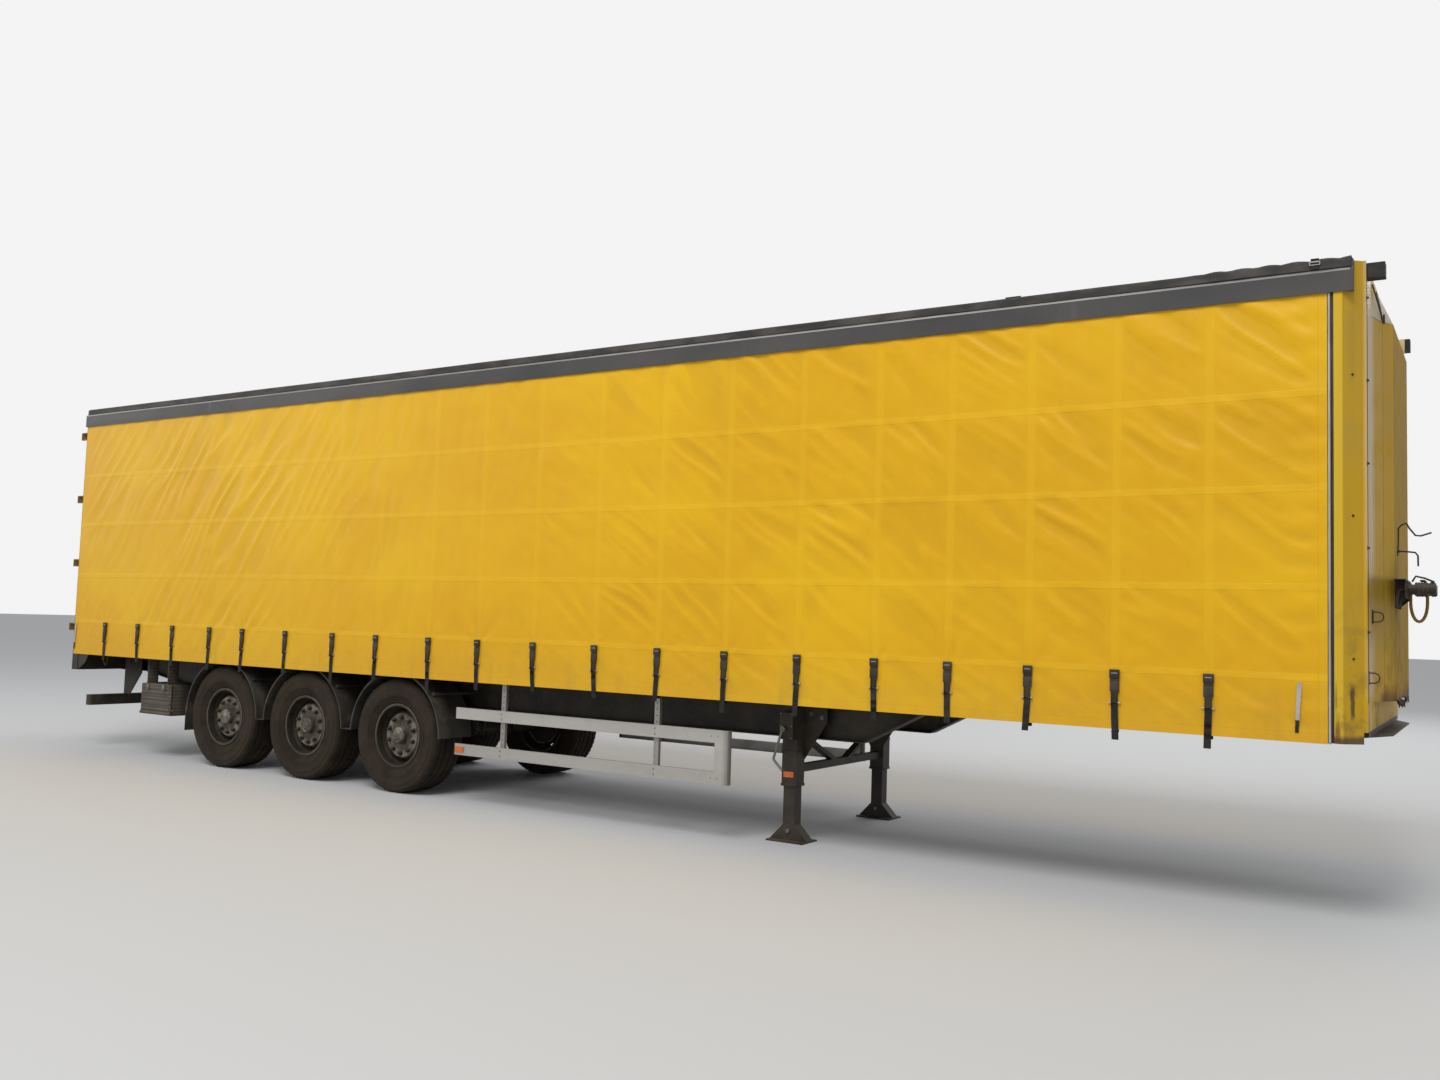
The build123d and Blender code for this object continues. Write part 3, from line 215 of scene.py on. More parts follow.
def yellowPaintFinish():
    skin = Finish("yellow paint", paint["yellow"], 0.5, 0.25)
    x, z, across = skin.x, skin.z, abs(skin.y)
    skin.stain(skin.noise(1.1, 4).fade(0.38, 0.7), paint["faded"])
    # painted highlight on the outward side faces of the corner posts
    skin.stain(across.fade(curtainFace - 0.004, curtainFace - 0.001), paint["bright"])
    # painted reflection: the wall beside the nose is pale in two stretches
    onWall = across.fade(0.835, 0.895) * across.fade(1.182, 1.178) * x.fade(wallX - 0.02, wallX - 0.001)
    lower = z.fade(1.8, 1.7) * z.fade(1.34, 1.4) * 0.7
    paintedGlare = skin.noise(3, 4, (1, 1, 0.2)) * 0.5 + 0.35
    skin.stain(onWall * (z.fade(1.95, 2.25) + lower) * paintedGlare, paint["paintedGlare"])
    # the nose is in shade below its hip, which has a painted highlight, and is sooty with a painted shadow by
    # the coupling bracket
    onNose = x.fade(wallX + 0.002, wallX + 0.006) * across.fade(0.935, 0.925)
    onFace = x.fade(noseX - 0.004, noseX - 0.001)
    skin.stain(onNose * 0.22 + onFace * 0.34, paint["shade"])
    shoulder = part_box("nose_panel")[1].z - paint["hipHeight"]
    # painted highlight on the sloping hip of the nose
    skin.stain(onNose * z.fade(shoulder - 0.002, shoulder + 0.003) * 0.88, paint["hip"])
    # soot together with the painted shadow of the coupling bracket
    bracket = skin.y.fade(-0.15, -0.32) * across.fade(1.19, 1.17) * x.fade(wallX - 0.004, wallX - 0.001)
    sootAndShadow = bracket * z.fade(2.13, 2.09) * z.fade(1.45, 1.95)
    skin.stain(sootAndShadow * (skin.noise(5, 4, (1, 1, 0.3)) * 0.55 + 0.12), paint["sootAndShadow"])
    skin.stain(onNose * z.near(shoulder, 0.008, 0.004) * 0.5, paint["dirt"])
    low = z.fade(2.3, 1.15)
    grime = skin.noise(6, 7).fade(0.46, 0.72)
    skin.stain(skin.noise(9, 6, (1, 1, 0.07)).fade(0.5, 0.72) * (low * 0.4 + 0.14), paint["dirt"])
    skin.stain(grime * low * 0.6, paint["dirt"])
    skin.stain(across.near(0.722, 0.006, 0.001) * x.fade(wallX + 0.03, wallX + 0.05) * 0.6, paint["dirt"])
    # rust: chips, the torn lower edge of the nose, and runs
    chips = skin.noise(38, 3).fade(0.7, 0.735) * skin.noise(4, 3).fade(0.45, 0.62) * (low * 0.9 + 0.1)
    torn = (z + skin.noise(7, 5) * 0.16).fade(1.53, 1.4) * x.fade(wallX + 0.02, wallX + 0.05)
    runs = skin.noise(16, 4, (1, 1, 0.09)).fade(0.62, 0.74) * z.fade(1.75, 1.2)
    skin.stain((z + skin.noise(9, 4) * 0.05).fade(1.185, 1.15) * 0.9, paint["foot"])
    for factor in (chips, torn * 0.9, runs * 0.75):
        skin.stain(factor, rustBrown)
    # a dark scrape low on the right corner post, and grime behind the hinge ears
    scrape = (abs(skin.y + 1.232) + skin.noise(30, 3) * 0.012).fade(0.021, 0.01)
    scrape = scrape * z.fade(1.46, 1.4) * z.fade(1.22, 1.28) * x.fade(frontX + 0.09, frontX + 0.11)
    skin.stain(scrape * 0.85, paint["scrape"])
    hinges = across.fade(curtainFace - 0.04, curtainFace - 0.034) * x.fade(rearX - 0.016, rearX - 0.022)
    skin.stain(hinges * 0.85, paint["hinges"])
    roughness = 0.46 + grime * 0.16 + chips * 0.3 + low * 0.1 - onWall * 0.12 + onFace * 0.3
    height = skin.noise(2.2, 3) * 0.8 - chips * 0.3 - torn * skin.noise(40, 4) * 0.6
    return skin.done(height, 0.003, 0.4, Roughness=roughness)


# black chassis paint under road dust, with rust where it is chipped
chassis = {"black": (0.016, 0.0125, 0.009), "grey": (0.04, 0.032, 0.021), "dust": 0.45, "rust": 0.5}


def chassisFinish():
    skin = Finish("chassis paint", chassis["black"], 0.6, 0.35)
    skin.stain(skin.noise(3, 5).fade(0.35, 0.7), chassis["grey"])
    settled = skin.upward().fade(0.1, 0.9) * 0.7 + skin.noise(7, 6).fade(0.42, 0.8) * 0.45
    skin.stain(settled * chassis["dust"], roadDust)
    spots = skin.noise(24, 5).fade(0.6, 0.7) * skin.noise(3.1, 3).fade(0.45, 0.65)
    skin.stain(spots * chassis["rust"], rustBrown)
    return skin.done(skin.noise(60, 4) * 0.3 + spots * 0.5, 0.0015, Roughness=0.52 + settled * 0.3)


# dark satin extrusion with fine lines along its length, and a painted highlight on its upward faces
def railFinish():
    skin = Finish("dark rail", (0.045, 0.043, 0.043), 0.45, 0.35)
    lines = skin.noise(30, 3, (0.02, 1, 1))
    skin.stain(skin.noise(1.4, 4, (0.4, 1, 1)).fade(0.35, 0.7), (0.08, 0.076, 0.072))
    # painted highlight: upward faces lighter
    skin.stain(skin.upward().fade(0.3, 1.0) * 0.6, (0.17, 0.15, 0.125))
    skin.stain(skin.noise(12, 5, (0.5, 1, 0.1)).fade(0.6, 0.8) * 0.4, roadDust)
    return skin.done(lines * 0.5, 0.001, 0.4, Roughness=lines * 0.25 + 0.34)


# bare metals, drawn aluminium and hot-dip zinc: in painted shade inside the guards and on their curled front
def metalFinish(name, light, dark, roughness, drawn=(1, 1, 1), spangle=0.0, dirt=0.25):
    skin = Finish(name, dark, roughness, metallic=0.6)
    tone = skin.noise(2.5, 5, drawn).fade(0.3, 0.75)
    if spangle:
        tone = tone * (1 - spangle) + skin.cells(26, "Color") * spangle
    skin.stain(tone, light)
    soil = skin.noise(5, 6).fade(0.48, 0.8) + skin.z.fade(1.2, 0.3) * 0.3
    below = skin.z.fade(1.11, 1.1)
    # painted shade on the guards' inner side and on their curled front end, low down
    skin.stain(abs(skin.y).fade(1.216, 1.2145) * below * 0.55, (0.1, 0.088, 0.072))
    skin.stain(skin.x.fade(guardNose - 0.06, guardNose) * below * 0.55, (0.16, 0.142, 0.115))
    skin.stain(soil * dirt, roadDust)
    return skin.done(skin.noise(80, 3, drawn) * 0.4, 0.0006, Metallic=0.6 - soil * 0.35,
                     Roughness=skin.noise(40, 3, drawn) * 0.2 + soil * 0.2 + roughness - 0.1)


def timberFinish():
    skin = Finish("plywood floor", (0.085, 0.045, 0.022), 0.7)
    grain = skin.noise(18, 6, (0.15, 1, 1))
    skin.stain(grain.fade(0.3, 0.7), (0.16, 0.095, 0.05))
    skin.stain(skin.noise(6, 7, (0.3, 1, 1)).fade(0.55, 0.8) * 0.6, (0.3, 0.25, 0.19))
    return skin.done(grain * 0.5 + skin.cells(160) * 0.3, 0.001)


# distance from the nearest axle's line, the same whichever way the wheel is turned
def wheelRadius(skin):
    radii = []
    for centre in axleCentres:
        ahead, above = skin.x - centre.x, skin.z - centre.z
        radii.append((ahead * ahead + above * above).maths("SQRT"))
    return radii[0].maths("MINIMUM", radii[1]).maths("MINIMUM", radii[2])


# tyre rubber: black under dry dust that fades the walls and the shoulders
def tyreFinish():
    skin = Finish("tyre rubber", (0.011, 0.009, 0.007), 0.9, 0.2)
    radius = wheelRadius(skin)
    dust = skin.noise(6, 6).fade(0.3, 0.72)
    fine = skin.noise(45, 4).fade(0.4, 0.7)
    skin.stain(dust * 0.55 + fine * 0.2 + 0.15, (0.046, 0.032, 0.021))
    skin.stain(radius.fade(0.36, 0.44) * radius.fade(0.535, 0.5) * 0.35, (0.05, 0.036, 0.024))
    scuffed = (radius * 220).maths("SINE").fade(0.8, 1.0) * radius.fade(0.3, 0.32) * radius.fade(0.42, 0.4)
    skin.stain(scuffed * 0.25, (0.066, 0.049, 0.034))
    return skin.done(skin.noise(130, 4) * 0.4 + scuffed * 0.4, 0.001)


# wheel paint: mottled silver on the disc, caked dirt and painted shade black in the barrel, a painted
# highlight along the edge
def rimFinish():
    skin = Finish("wheel paint", (0.092, 0.074, 0.058), 0.6, 0.3, 0.15)
    radius = wheelRadius(skin)
    skin.stain(skin.noise(9, 5).fade(0.38, 0.66), (0.275, 0.241, 0.198))
    film = skin.noise(16, 6).fade(0.46, 0.7)
    skin.stain(film * 0.5, (0.06, 0.044, 0.032))
    caked = (radius + skin.noise(11, 3) * 0.07).fade(0.19, 0.165) * radius.fade(0.066, 0.088)
    skin.stain(caked * 0.72, (0.038, 0.028, 0.019))
    skin.stain(skin.noise(28, 4).fade(0.6, 0.7) * 0.6, rustBrown)
    # the barrel black: dirt with painted shade
    skin.stain(radius.fade(0.206, 0.224) * 0.94, (0.026, 0.0195, 0.0125))
    # painted highlight along the rim's edge
    paintedGlare = skin.noise(2.4, 3).fade(0.42, 0.6) * 0.55 + 0.25
    skin.stain(radius.fade(0.2885, 0.2925) * paintedGlare, (0.17, 0.14, 0.11))
    return skin.done(skin.noise(70, 4) * 0.4, 0.001, Roughness=0.5 + film * 0.25)


# moulded plastic and rubber, with raised ribs where a pitch is given
def plasticFinish(name, dark, light, roughness, dust, ribs=0.0):
    skin = Finish(name, dark, roughness, 0.35)
    skin.stain(skin.noise(4, 5).fade(0.35, 0.7), light)
    settled = skin.noise(6, 6).fade(0.45, 0.8) + skin.upward().fade(0.2, 1.0) * 0.5
    skin.stain(settled * dust, roadDust)
    # darker inboard and low down: painted shade under the body, with some road grime
    inboard = abs(skin.y).fade(1.13, 1.06) * skin.z.fade(1.11, 1.1)
    skin.stain(inboard * 0.55, (0.02, 0.016, 0.012))
    height = skin.noise(260, 2) * 0.3 + skin.noise(3, 2) * 0.5
    if ribs:
        band = (skin.z * (2 * pi / ribs)).maths("SINE").fade(-0.4, 0.6)
        # painted shade in the grooves between the ribs
        skin.stain((1 - band) * 0.35, (0.02, 0.018, 0.016))
        height = height + band * 2.0
    return skin.done(height, 0.0012, Roughness=settled * 0.25 + roughness)


# lens with prism cells
def lensFinish(name, colour, dark):
    skin = Finish(name, colour, 0.18, coat=0.6)
    prisms = skin.cells(110)
    skin.stain(prisms.fade(0.2, 0.7), dark)
    skin.stain(skin.noise(11, 5).fade(0.5, 0.8) * 0.35, roadDust)
    return skin.done(prisms, 0.001, 0.6)


# ribbed webbing, darker below the curtain's hem
def webbingFinish():
    skin = Finish("webbing", (0.012, 0.012, 0.012), 0.8, 0.3)
    skin.stain(skin.noise(8, 4).fade(0.4, 0.75) * 0.6, (0.075, 0.066, 0.055))
    skin.stain(skin.z.fade(hemZ, hemZ - 0.012) * 0.7, (0.016, 0.013, 0.01))
    ribs = skin.node("ShaderNodeTexWave", {"bands_direction": "Z"}, {"Vector": skin.place, "Scale": 90})
    return skin.done(ribs, 0.0008, 0.6)


# roof fabric: grey, nearly black where its hem lies over the rail
def roofFinish():
    skin = Finish("roof tarp", (0.3, 0.29, 0.27), 0.6, 0.3)
    skin.stain(skin.noise(1.2, 6).fade(0.35, 0.75), (0.17, 0.155, 0.13))
    skin.stain(skin.noise(14, 6).fade(0.55, 0.8) * 0.5, (0.1, 0.09, 0.07))
    hem = abs(skin.y).fade(curtainFace - 0.11, curtainFace - 0.05)
    hem = hem.maths("MAXIMUM", skin.x.fade(frontX - 0.95, frontX - 0.75))
    mottled = skin.noise(10, 5, (0.4, 1, 1)).fade(0.35, 0.7)
    skin.stain(hem, skin.blend(mottled, (0.03, 0.027, 0.025), (0.075, 0.066, 0.058)))
    return skin.done(skin.noise(9, 4), 0.003)


finishes = {
    "curtain_tarp": tarpFinish(),
    "painted_yellow": yellowPaintFinish(),
    "painted_chassis": chassisFinish(),
    "painted_rail": railFinish(),
    "aluminium": metalFinish("drawn aluminium", (0.52, 0.5, 0.47), (0.38, 0.365, 0.34), 0.42, (0.06, 1, 1)),
    "galvanised": metalFinish("zinc coat", (0.5, 0.51, 0.51), (0.34, 0.345, 0.35), 0.45, spangle=0.5),
    "steel": metalFinish("bright steel", (0.34, 0.32, 0.3), (0.16, 0.145, 0.13), 0.42, dirt=0.5),
    "timber": timberFinish(),
    "tyre": tyreFinish(),
    "rim": rimFinish(),
    "rubber": plasticFinish("rubber", (0.014, 0.013, 0.012), (0.032, 0.029, 0.026), 0.7, 0.4),
    "black_plastic": plasticFinish("black plastic", (0.026, 0.022, 0.017), (0.056, 0.047, 0.036), 0.65, 0.42),
    "grey_plastic": plasticFinish("grey plastic", (0.086, 0.07, 0.052), (0.138, 0.113, 0.086), 0.6, 0.35,
                                  ribs=0.038),
    "lamp": lensFinish("red lens", (0.5, 0.012, 0.01), (0.2, 0.004, 0.004)),
    "reflector": lensFinish("amber lens", (0.85, 0.2, 0.01), (0.5, 0.08, 0.004)),
    "webbing": webbingFinish(),
    "roof_tarp": roofFinish(),
}
for entry in frame["record"]["subparts"]:
    for materialSlot in nodes[entry["node"]].material_slots:
        materialSlot.material = finishes[entry["material_slot"]]
print("finishes made:", len(finishes))


# a piece in the making: y is given for the left side, and signs says on which sides the shapes are made
class Piece:
    def __init__(self, name, slot, signs=both, body="trailer"):
        self.mesh, self.name, self.slot, self.signs, self.body = bmesh.new(), name, slot, signs, body

    def box(self, size, centre, bevel=0.0, segments=2, lean=0.0, signs=None):
        mesh, placed = self.mesh, []
        for sign in signs or self.signs:
            made = bmesh.ops.create_cube(mesh, size=1.0)["verts"]
            bmesh.ops.scale(mesh, vec=size, verts=made)
            if bevel:
                edges = list({edge for vertex in made for edge in vertex.link_edges})
                cut = bmesh.ops.bevel(mesh, geom=edges, offset=bevel, segments=segments, profile=0.5,
                                      affect="EDGES", material=-1)
                made = list({vertex for face in cut["faces"] for vertex in face.verts}
                            | {vertex for vertex in made if vertex.is_valid})
            if lean:
                turn = Matrix.Rotation(sign * lean, 3, "X")
                bmesh.ops.rotate(mesh, verts=made, cent=(0, 0, 0), matrix=turn)
            bmesh.ops.translate(mesh, vec=(centre[0], sign * centre[1], centre[2]), verts=made)
            placed += made
        return placed

    # a round bar or disc between two points
    def rod(self, start, end, radius, segments, endRadius=None, signs=None):
        for sign in signs or self.signs:
            low, high = (Vector((x, sign * y, z)) for x, y, z in (start, end))
            turn = (high - low).to_track_quat("Z", "Y").to_matrix().to_4x4()
            bmesh.ops.create_cone(self.mesh, cap_ends=True, segments=segments, radius1=radius,
                                  radius2=endRadius or radius, depth=(high - low).length,
                                  matrix=Matrix.Translation((low + high) / 2) @ turn)

    # rods in line from a place along an axis: start, end, radius, segments and end radius of each
    def stack(self, place, axis, *rows, signs=None):
        along = Vector([float(letter == axis) for letter in "xyz"])
        for start, end, *rest in rows:
            self.rod(Vector(place) + along * start, Vector(place) + along * end, *rest, signs=signs)

    # a tube that follows a smooth path through points
    def tube(self, points, radius, segments, signs=None):
        last = len(points) - 1
        for sign in signs or self.signs:
            path = [Vector((x, sign * y, z)) for x, y, z in points]
            rings = []
            for index, point in enumerate(path):
                along = path[min(last, index + 1)] - path[max(0, index - 1)]
                turn = along.to_track_quat("Z", "Y").to_matrix().to_4x4()
                rings.append(bmesh.ops.create_circle(
                    self.mesh, cap_ends=index in (0, last), segments=segments, radius=radius,
                    matrix=Matrix.Translation(point) @ turn)["verts"])
            for pair in zip(rings, rings[1:]):
                edges = [edge for ring in pair for edge in {e for v in ring for e in v.link_edges}
                         if edge.verts[0] in ring and edge.verts[1] in ring and len(edge.link_faces) < 2]
                bmesh.ops.bridge_loops(self.mesh, edges=edges)

    # the mesh becomes an object whose edges above an angle stay sharp
    def finish(self, angle=40):
        bmesh.ops.remove_doubles(self.mesh, verts=self.mesh.verts, dist=1e-5)
        data = bpy.data.meshes.new(self.name)
        self.mesh.to_mesh(data)
        self.mesh.free()
        piece = bpy.data.objects.new(self.name, data)
        bpy.context.collection.objects.link(piece)
        data.materials.append(finishes[self.slot])
        for face in data.polygons:
            face.use_smooth = True
        data.set_sharp_from_angle(angle=radians(angle))
        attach(piece, self.body)
        return piece


def finishAll(*pieces, angle=40):
    for piece in pieces:
        bmesh.ops.recalc_face_normals(piece.mesh, faces=piece.mesh.faces)
    return [piece.finish(angle) for piece in pieces]


def smooth(value, low, high):
    share = min(1.0, max(0.0, (value - low) / (high - low)))
    return share * share * (3 - 2 * share)


# a value that wanders between about -1 and 1 from place to place
def waver(x, y, z):
    return noise.noise(Vector((x, y, z)))


# curtains: coated fabric pulled down by the straps, with seams, welded webs and creases
curtain = {"columns": 700, "rows": 124, "rest": 0.0045, "seamStep": 0.0007, "webStep": 0.0005,
           "creases": 0.0098, "creaseLength": 1.1, "creaseWidth": 0.165, "folds": 0.015, "foldLength": 0.95,
           "foldWidth": 0.12, "pucker": 0.0036, "puckerReach": 0.3, "billow": 0.0035, "hemHeight": 0.06,
           "hemStep": 0.0012, "gathers": 0.0018, "gatherPitch": 0.31, "frontCreases": 0.003,
           "frontPitch": 0.16, "deepest": (0.005, 0.0078), "proudest": (0.0085, 0.0105), "railGap": 0.007}
strapPlaces = [share / 1000 * curtainLength for share in (
    47.9, 96.2, 145.0, 194.6, 236.6, 288.4, 341.8, 388.2, 440.9, 487.1,
    536.2, 586.9, 635.4, 683.4, 731.9, 779.4, 821.5, 864.3, 907.2, 950.1)]
bayEdges = [0.0, *strapPlaces, curtainLength]
seamEdges = [hemZ, *tarp["seams"], lipZ]
pocketZ = tarp["seams"][0]


def cellOf(value, edges):
    index = max(i for i in range(len(edges) - 1) if value >= edges[i] or i == 0)
    share = (value - edges[index]) / (edges[index + 1] - edges[index])
    return index, min(1.0, max(0.0, share))


# long creases cross the webs: leaning forward at the rear, nearly upright in the middle
def crease(u, z, lean, seed):
    along = u * cos(lean) + z * sin(lean)
    sideways = z * cos(lean) - u * sin(lean)
    bend = 0.07 * waver(along * 1.2, sideways * 1.6, seed)
    ridge = waver(along / curtain["creaseLength"], (sideways + bend) / curtain["creaseWidth"], seed)
    return (1 - min(1.0, abs(ridge) * 2.6)) ** 1.3 - 0.3


def creaseDepth(u, z, seed):
    leaning = crease(u, z, radians(55), seed) * (1 - smooth(u, 3.2, 6.0))
    upright = crease(u, z, radians(80), seed + 6) * smooth(u, 3.0, 5.0) * (1 - smooth(u, 6.5, 8.5)) * 0.35
    place = max(0.15, 0.66 + 0.7 * waver(u * 0.55, z * 0.8, seed + 4))
    upward = cellOf(z, seamEdges)[1]
    held = 0.6 + 0.4 * smooth(upward, 0.0, 0.15) * smooth(1 - upward, 0.0, 0.1)
    return curtain["creases"] * (leaning + upright) * place * held


# at the front each bay between webs and seams has its own folds, that fall from its upper rear corner
def foldDepth(u, z, seed):
    column, across = cellOf(u, bayEdges)
    row, upward = cellOf(z, seamEdges)
    right = across * (bayEdges[column + 1] - bayEdges[column])
    down = (1 - upward) * (seamEdges[row + 1] - seamEdges[row])
    cell = Vector((column * 1.7, row * 2.3, seed))
    choice, other = noise.noise(cell), noise.noise(cell + Vector((9.1, 4.2, 0.7)))
    lean = radians(37 + 13 * choice)
    along = right * cos(lean) + down * sin(lean)
    spread = right * sin(lean) - down * cos(lean)
    bent = spread + 0.035 * waver(along * 2.4, spread * 3.2, seed + 20 * choice)
    ridge = waver(along / curtain["foldLength"], bent / curtain["foldWidth"], seed + 30 * other)
    crest = (1 - min(1.0, abs(ridge) * 2.5)) ** 1.3 - 0.33
    fine = waver(along / 0.45, bent / 0.05, seed + 40 * choice)
    edge = smooth(across, 0.0, 0.13) * smooth(1 - across, 0.0, 0.2)
    edge *= smooth(upward, 0.0, 0.14) * smooth(1 - upward, 0.0, 0.06)
    corner = 0.4 + 0.6 * exp(-((spread - 0.03) / 0.2) ** 2)
    strength = corner * (0.8 + 0.55 * other) * (0.45 + 0.55 * smooth(upward, 0.0, 0.6)) * smooth(u, 5.8, 9.0)
    return curtain["folds"] * (crest + 0.35 * fine) * edge * strength


def curtainDepth(x, z, seed):
    u = x - rearX
    depth = foldDepth(u, z, seed) + creaseDepth(u, z, seed)
    depth *= 1.0 if z > pocketZ else 0.5
    depth += 0.001 * waver(u * 6.5, z * 5.0, seed + 2)
    depth += curtain["billow"] * waver(u * 0.6, z * 0.55, seed + 7) * smooth(z, hemZ, 1.7)
    # each strap pulls folds down towards its buckle
    nearest = min(strapPlaces, key=lambda place: abs(place - u))
    side = u - nearest
    above = z - pocketZ + 0.06
    distance = hypot(side, above)
    if above > -0.12:
        fan = cos(atan2(side, max(above, 0.01)) * 8.0 + seed + nearest * 5.0)
        fan *= 0.35 + 0.9 * abs(waver(side * 5.0, nearest * 3.1, seed + above * 2.5))
        fan *= exp(-distance / curtain["puckerReach"]) * smooth(distance, 0.02, 0.12)
        depth += curtain["pucker"] * fan
    else:
        depth += 0.0035 * waver(u * 3.2, z * 7.0, seed + 5)
    depth -= 0.0022 * exp(-(side / 0.05) ** 2) * smooth(z, pocketZ + 0.5, pocketZ - 0.1)
    # gathers just below the rail, between the runners, and short level creases at the front edge
    waves = cos(u * 2 * pi / curtain["gatherPitch"] + 2.2 * waver(u * 0.8, 0, seed))
    depth += curtain["gathers"] * waves * smooth(z, lipZ - 0.22, lipZ)
    waves = cos(z * 2 * pi / curtain["frontPitch"] + 3 * waver(0, z, seed))
    depth += curtain["frontCreases"] * waves * smooth(u, curtainLength - 0.35, curtainLength - 0.06)
    if abs(side) < tarp["webHalf"]:
        depth += curtain["webStep"]
    if any(abs(z - height) < tarp["seamWidth"] / 2 for height in tarp["seams"]):
        depth += curtain["seamStep"]
    # held flat at both ends and along the hem
    calm = smooth(u, 0.0, 0.2) * (0.35 + 0.65 * smooth(curtainLength - u, 0.0, 0.12))
    calm *= 0.45 + 0.55 * smooth(z, hemZ, hemZ + 0.18)
    hem = curtain["hemStep"] if z < hemZ + curtain["hemHeight"] else 0.0
    frontward = smooth(u, 1.4, 1.9)
    deepest, proudest = (rear + frontward * (front - rear)
                         for rear, front in (curtain["deepest"], curtain["proudest"]))
    return max(-deepest, min(proudest, depth * calm)) + hem


def makeCurtain(side):
    sign, seed = sides[side], {"right": 3.0, "left": 41.0}[side]
    cloth = Piece(f"curtain_{side}_cloth", "curtain_tarp")
    mesh = cloth.mesh
    bmesh.ops.create_grid(mesh, x_segments=curtain["columns"], y_segments=curtain["rows"], size=0.5)
    webOffset, foldHeight = (mesh.verts.layers.float.new(name) for name in ("webOffset", "foldHeight"))
    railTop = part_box("side_raves")[1].z + 0.05
    for vertex in mesh.verts:
        x = rearX + 0.002 + (vertex.co.x + 0.5) * (curtainLength - 0.004)
        z = hemZ + (vertex.co.y + 0.5) * (lipZ - hemZ)
        depth = curtainDepth(x, z, seed)
        face = curtainFace - curtain["rest"] + depth
        if z < railTop:
            face = max(face, curtainFace - curtain["railGap"])
        vertex[webOffset] = min(abs(place - (x - rearX)) for place in strapPlaces)
        vertex[foldHeight] = depth
        vertex.co = (x, sign * face, z + 0.0005)
    if sign > 0:
        bmesh.ops.reverse_faces(mesh, faces=mesh.faces)
    piece = cloth.finish(180)
    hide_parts(f"curtain_{side}")


for side in sides:
    makeCurtain(side)
print("curtains hung")


# curtain straps: webbing under an over-centre buckle, hooked below the side rave
strap = {"width": 0.048, "capWidth": 0.064, "plateWidth": 0.059, "face": 0.0004, "thick": 0.0024,
         "tail": (0.02, 0.09), "lean": 0.035, "capTop": 1.476, "capHeight": 0.056, "plateHeight": 0.068,
         "armBottom": 1.246, "pinZ": 1.262, "buckleDepth": 0.0155, "pinReach": 0.011, "pinRadius": 0.0042,
         "steps": 9, "hookFace": 1.24}


def makeStraps(side):
    sign, face, railFoot = sides[side], curtainFace + strap["face"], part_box("side_raves")[0].z
    webbing, buckles, plates, pins = (
        Piece(f"strap_{name}_{side}", slotName, asGiven) for name, slotName in (
            ("webbing", "webbing"), ("buckles", "painted_chassis"), ("plates", "black_plastic"),
            ("pins", "galvanised")))
    width, thick, depth, steps = (strap[key] for key in ("width", "thick", "buckleDepth", "steps"))
    capWidth, capHeight, plateHeight = strap["capWidth"], strap["capHeight"], strap["plateHeight"]
    capTop, armBottom, pinZ, pinRadius = (strap[key] for key in ("capTop", "armBottom", "pinZ", "pinRadius"))
    plateTop = capTop - capHeight - 0.02
    armTop = plateTop - plateHeight + 0.004
    armLength, armMiddle = armTop - armBottom, (armTop + armBottom) / 2
    for place in strapPlaces:
        x = rearX + place
        lean = random.uniform(-1, 1) * strap["lean"]
        tail = random.uniform(*strap["tail"])
        # webbing: from inside the pocket down over the hem, with a loose tail
        step = (pinZ - hemZ + 0.018 + tail) / steps
        made = []
        for i in range(steps):
            made += webbing.box((width * 0.92, thick, step), (0, thick / 2, pinZ - step * (i + 0.5)))
        bmesh.ops.remove_doubles(webbing.mesh, verts=made, dist=1e-5)
        for vertex in [vertex for vertex in made if vertex.is_valid]:
            drop = max(0.0, pinZ - vertex.co.z)
            bow = 0.0035 * smooth(drop, 0.0, 0.05) * (1 - smooth(drop, 0.1, 0.17))
            vertex.co = (x + vertex.co.x + lean * drop * 2.2, sign * (face + vertex.co.y + bow), vertex.co.z)
        webbing.box((width * 0.92, curtainFace - strap["hookFace"], thick),
                    (x, sign * (face + strap["hookFace"]) / 2, hemZ - 0.02))
        webbing.box((width * 0.92, thick, railFoot - hemZ + 0.02),
                    (x, sign * (strap["hookFace"] + 0.0025), (railFoot + hemZ - 0.02) / 2))
        # buckle: cap with a bright slot, hinged plate and the channel of the tension arm
        parts = buckles.box((capWidth, depth, capHeight), (0, depth / 2, capTop - capHeight / 2), 0.004)
        parts += buckles.box((capWidth * 0.9, depth * 0.55, 0.024),
                             (0, depth * 0.28, plateTop + 0.01), 0.002)
        parts += plates.box((strap["plateWidth"], depth * 0.8, plateHeight),
                            (0, depth * 0.4, plateTop - plateHeight / 2), 0.003)
        for cheek in (-1, 1):
            parts += buckles.box((0.004, depth, armLength),
                                 (cheek * (width / 2 - 0.005), depth / 2, armMiddle), 0.0012, 1)
        parts += buckles.box((width - 0.012, 0.004, armLength - 0.02),
                             (0, depth * 0.55, armMiddle + 0.01), 0.001, 1)
        for vertex in parts:
            vertex.co = (x + vertex.co.x + lean * 0.35 * (capTop - vertex.co.z),
                         sign * (face + vertex.co.y), vertex.co.z)
        pins.box((capWidth * 0.62, 0.0016, 0.0045),
                 (x, sign * (face + depth + 0.0004), capTop - 0.024), 0.0006, 1)
        out = width / 2 + strap["pinReach"]
        spot = (x + lean * 0.35 * (capTop - pinZ), sign * (face + depth * 0.36), pinZ)
        for end in (-1, 1):
            pins.stack(spot, "x", (end * (width / 2 - 0.006), end * out, pinRadius, 10),
                       (end * (out - 0.005), end * (out + 0.003), pinRadius * 1.5, 10))
    return finishAll(webbing, buckles, plates, pins)[0]


webbingPieces = [makeStraps(side) for side in sides]
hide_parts("curtain_straps")
print("straps buckled")


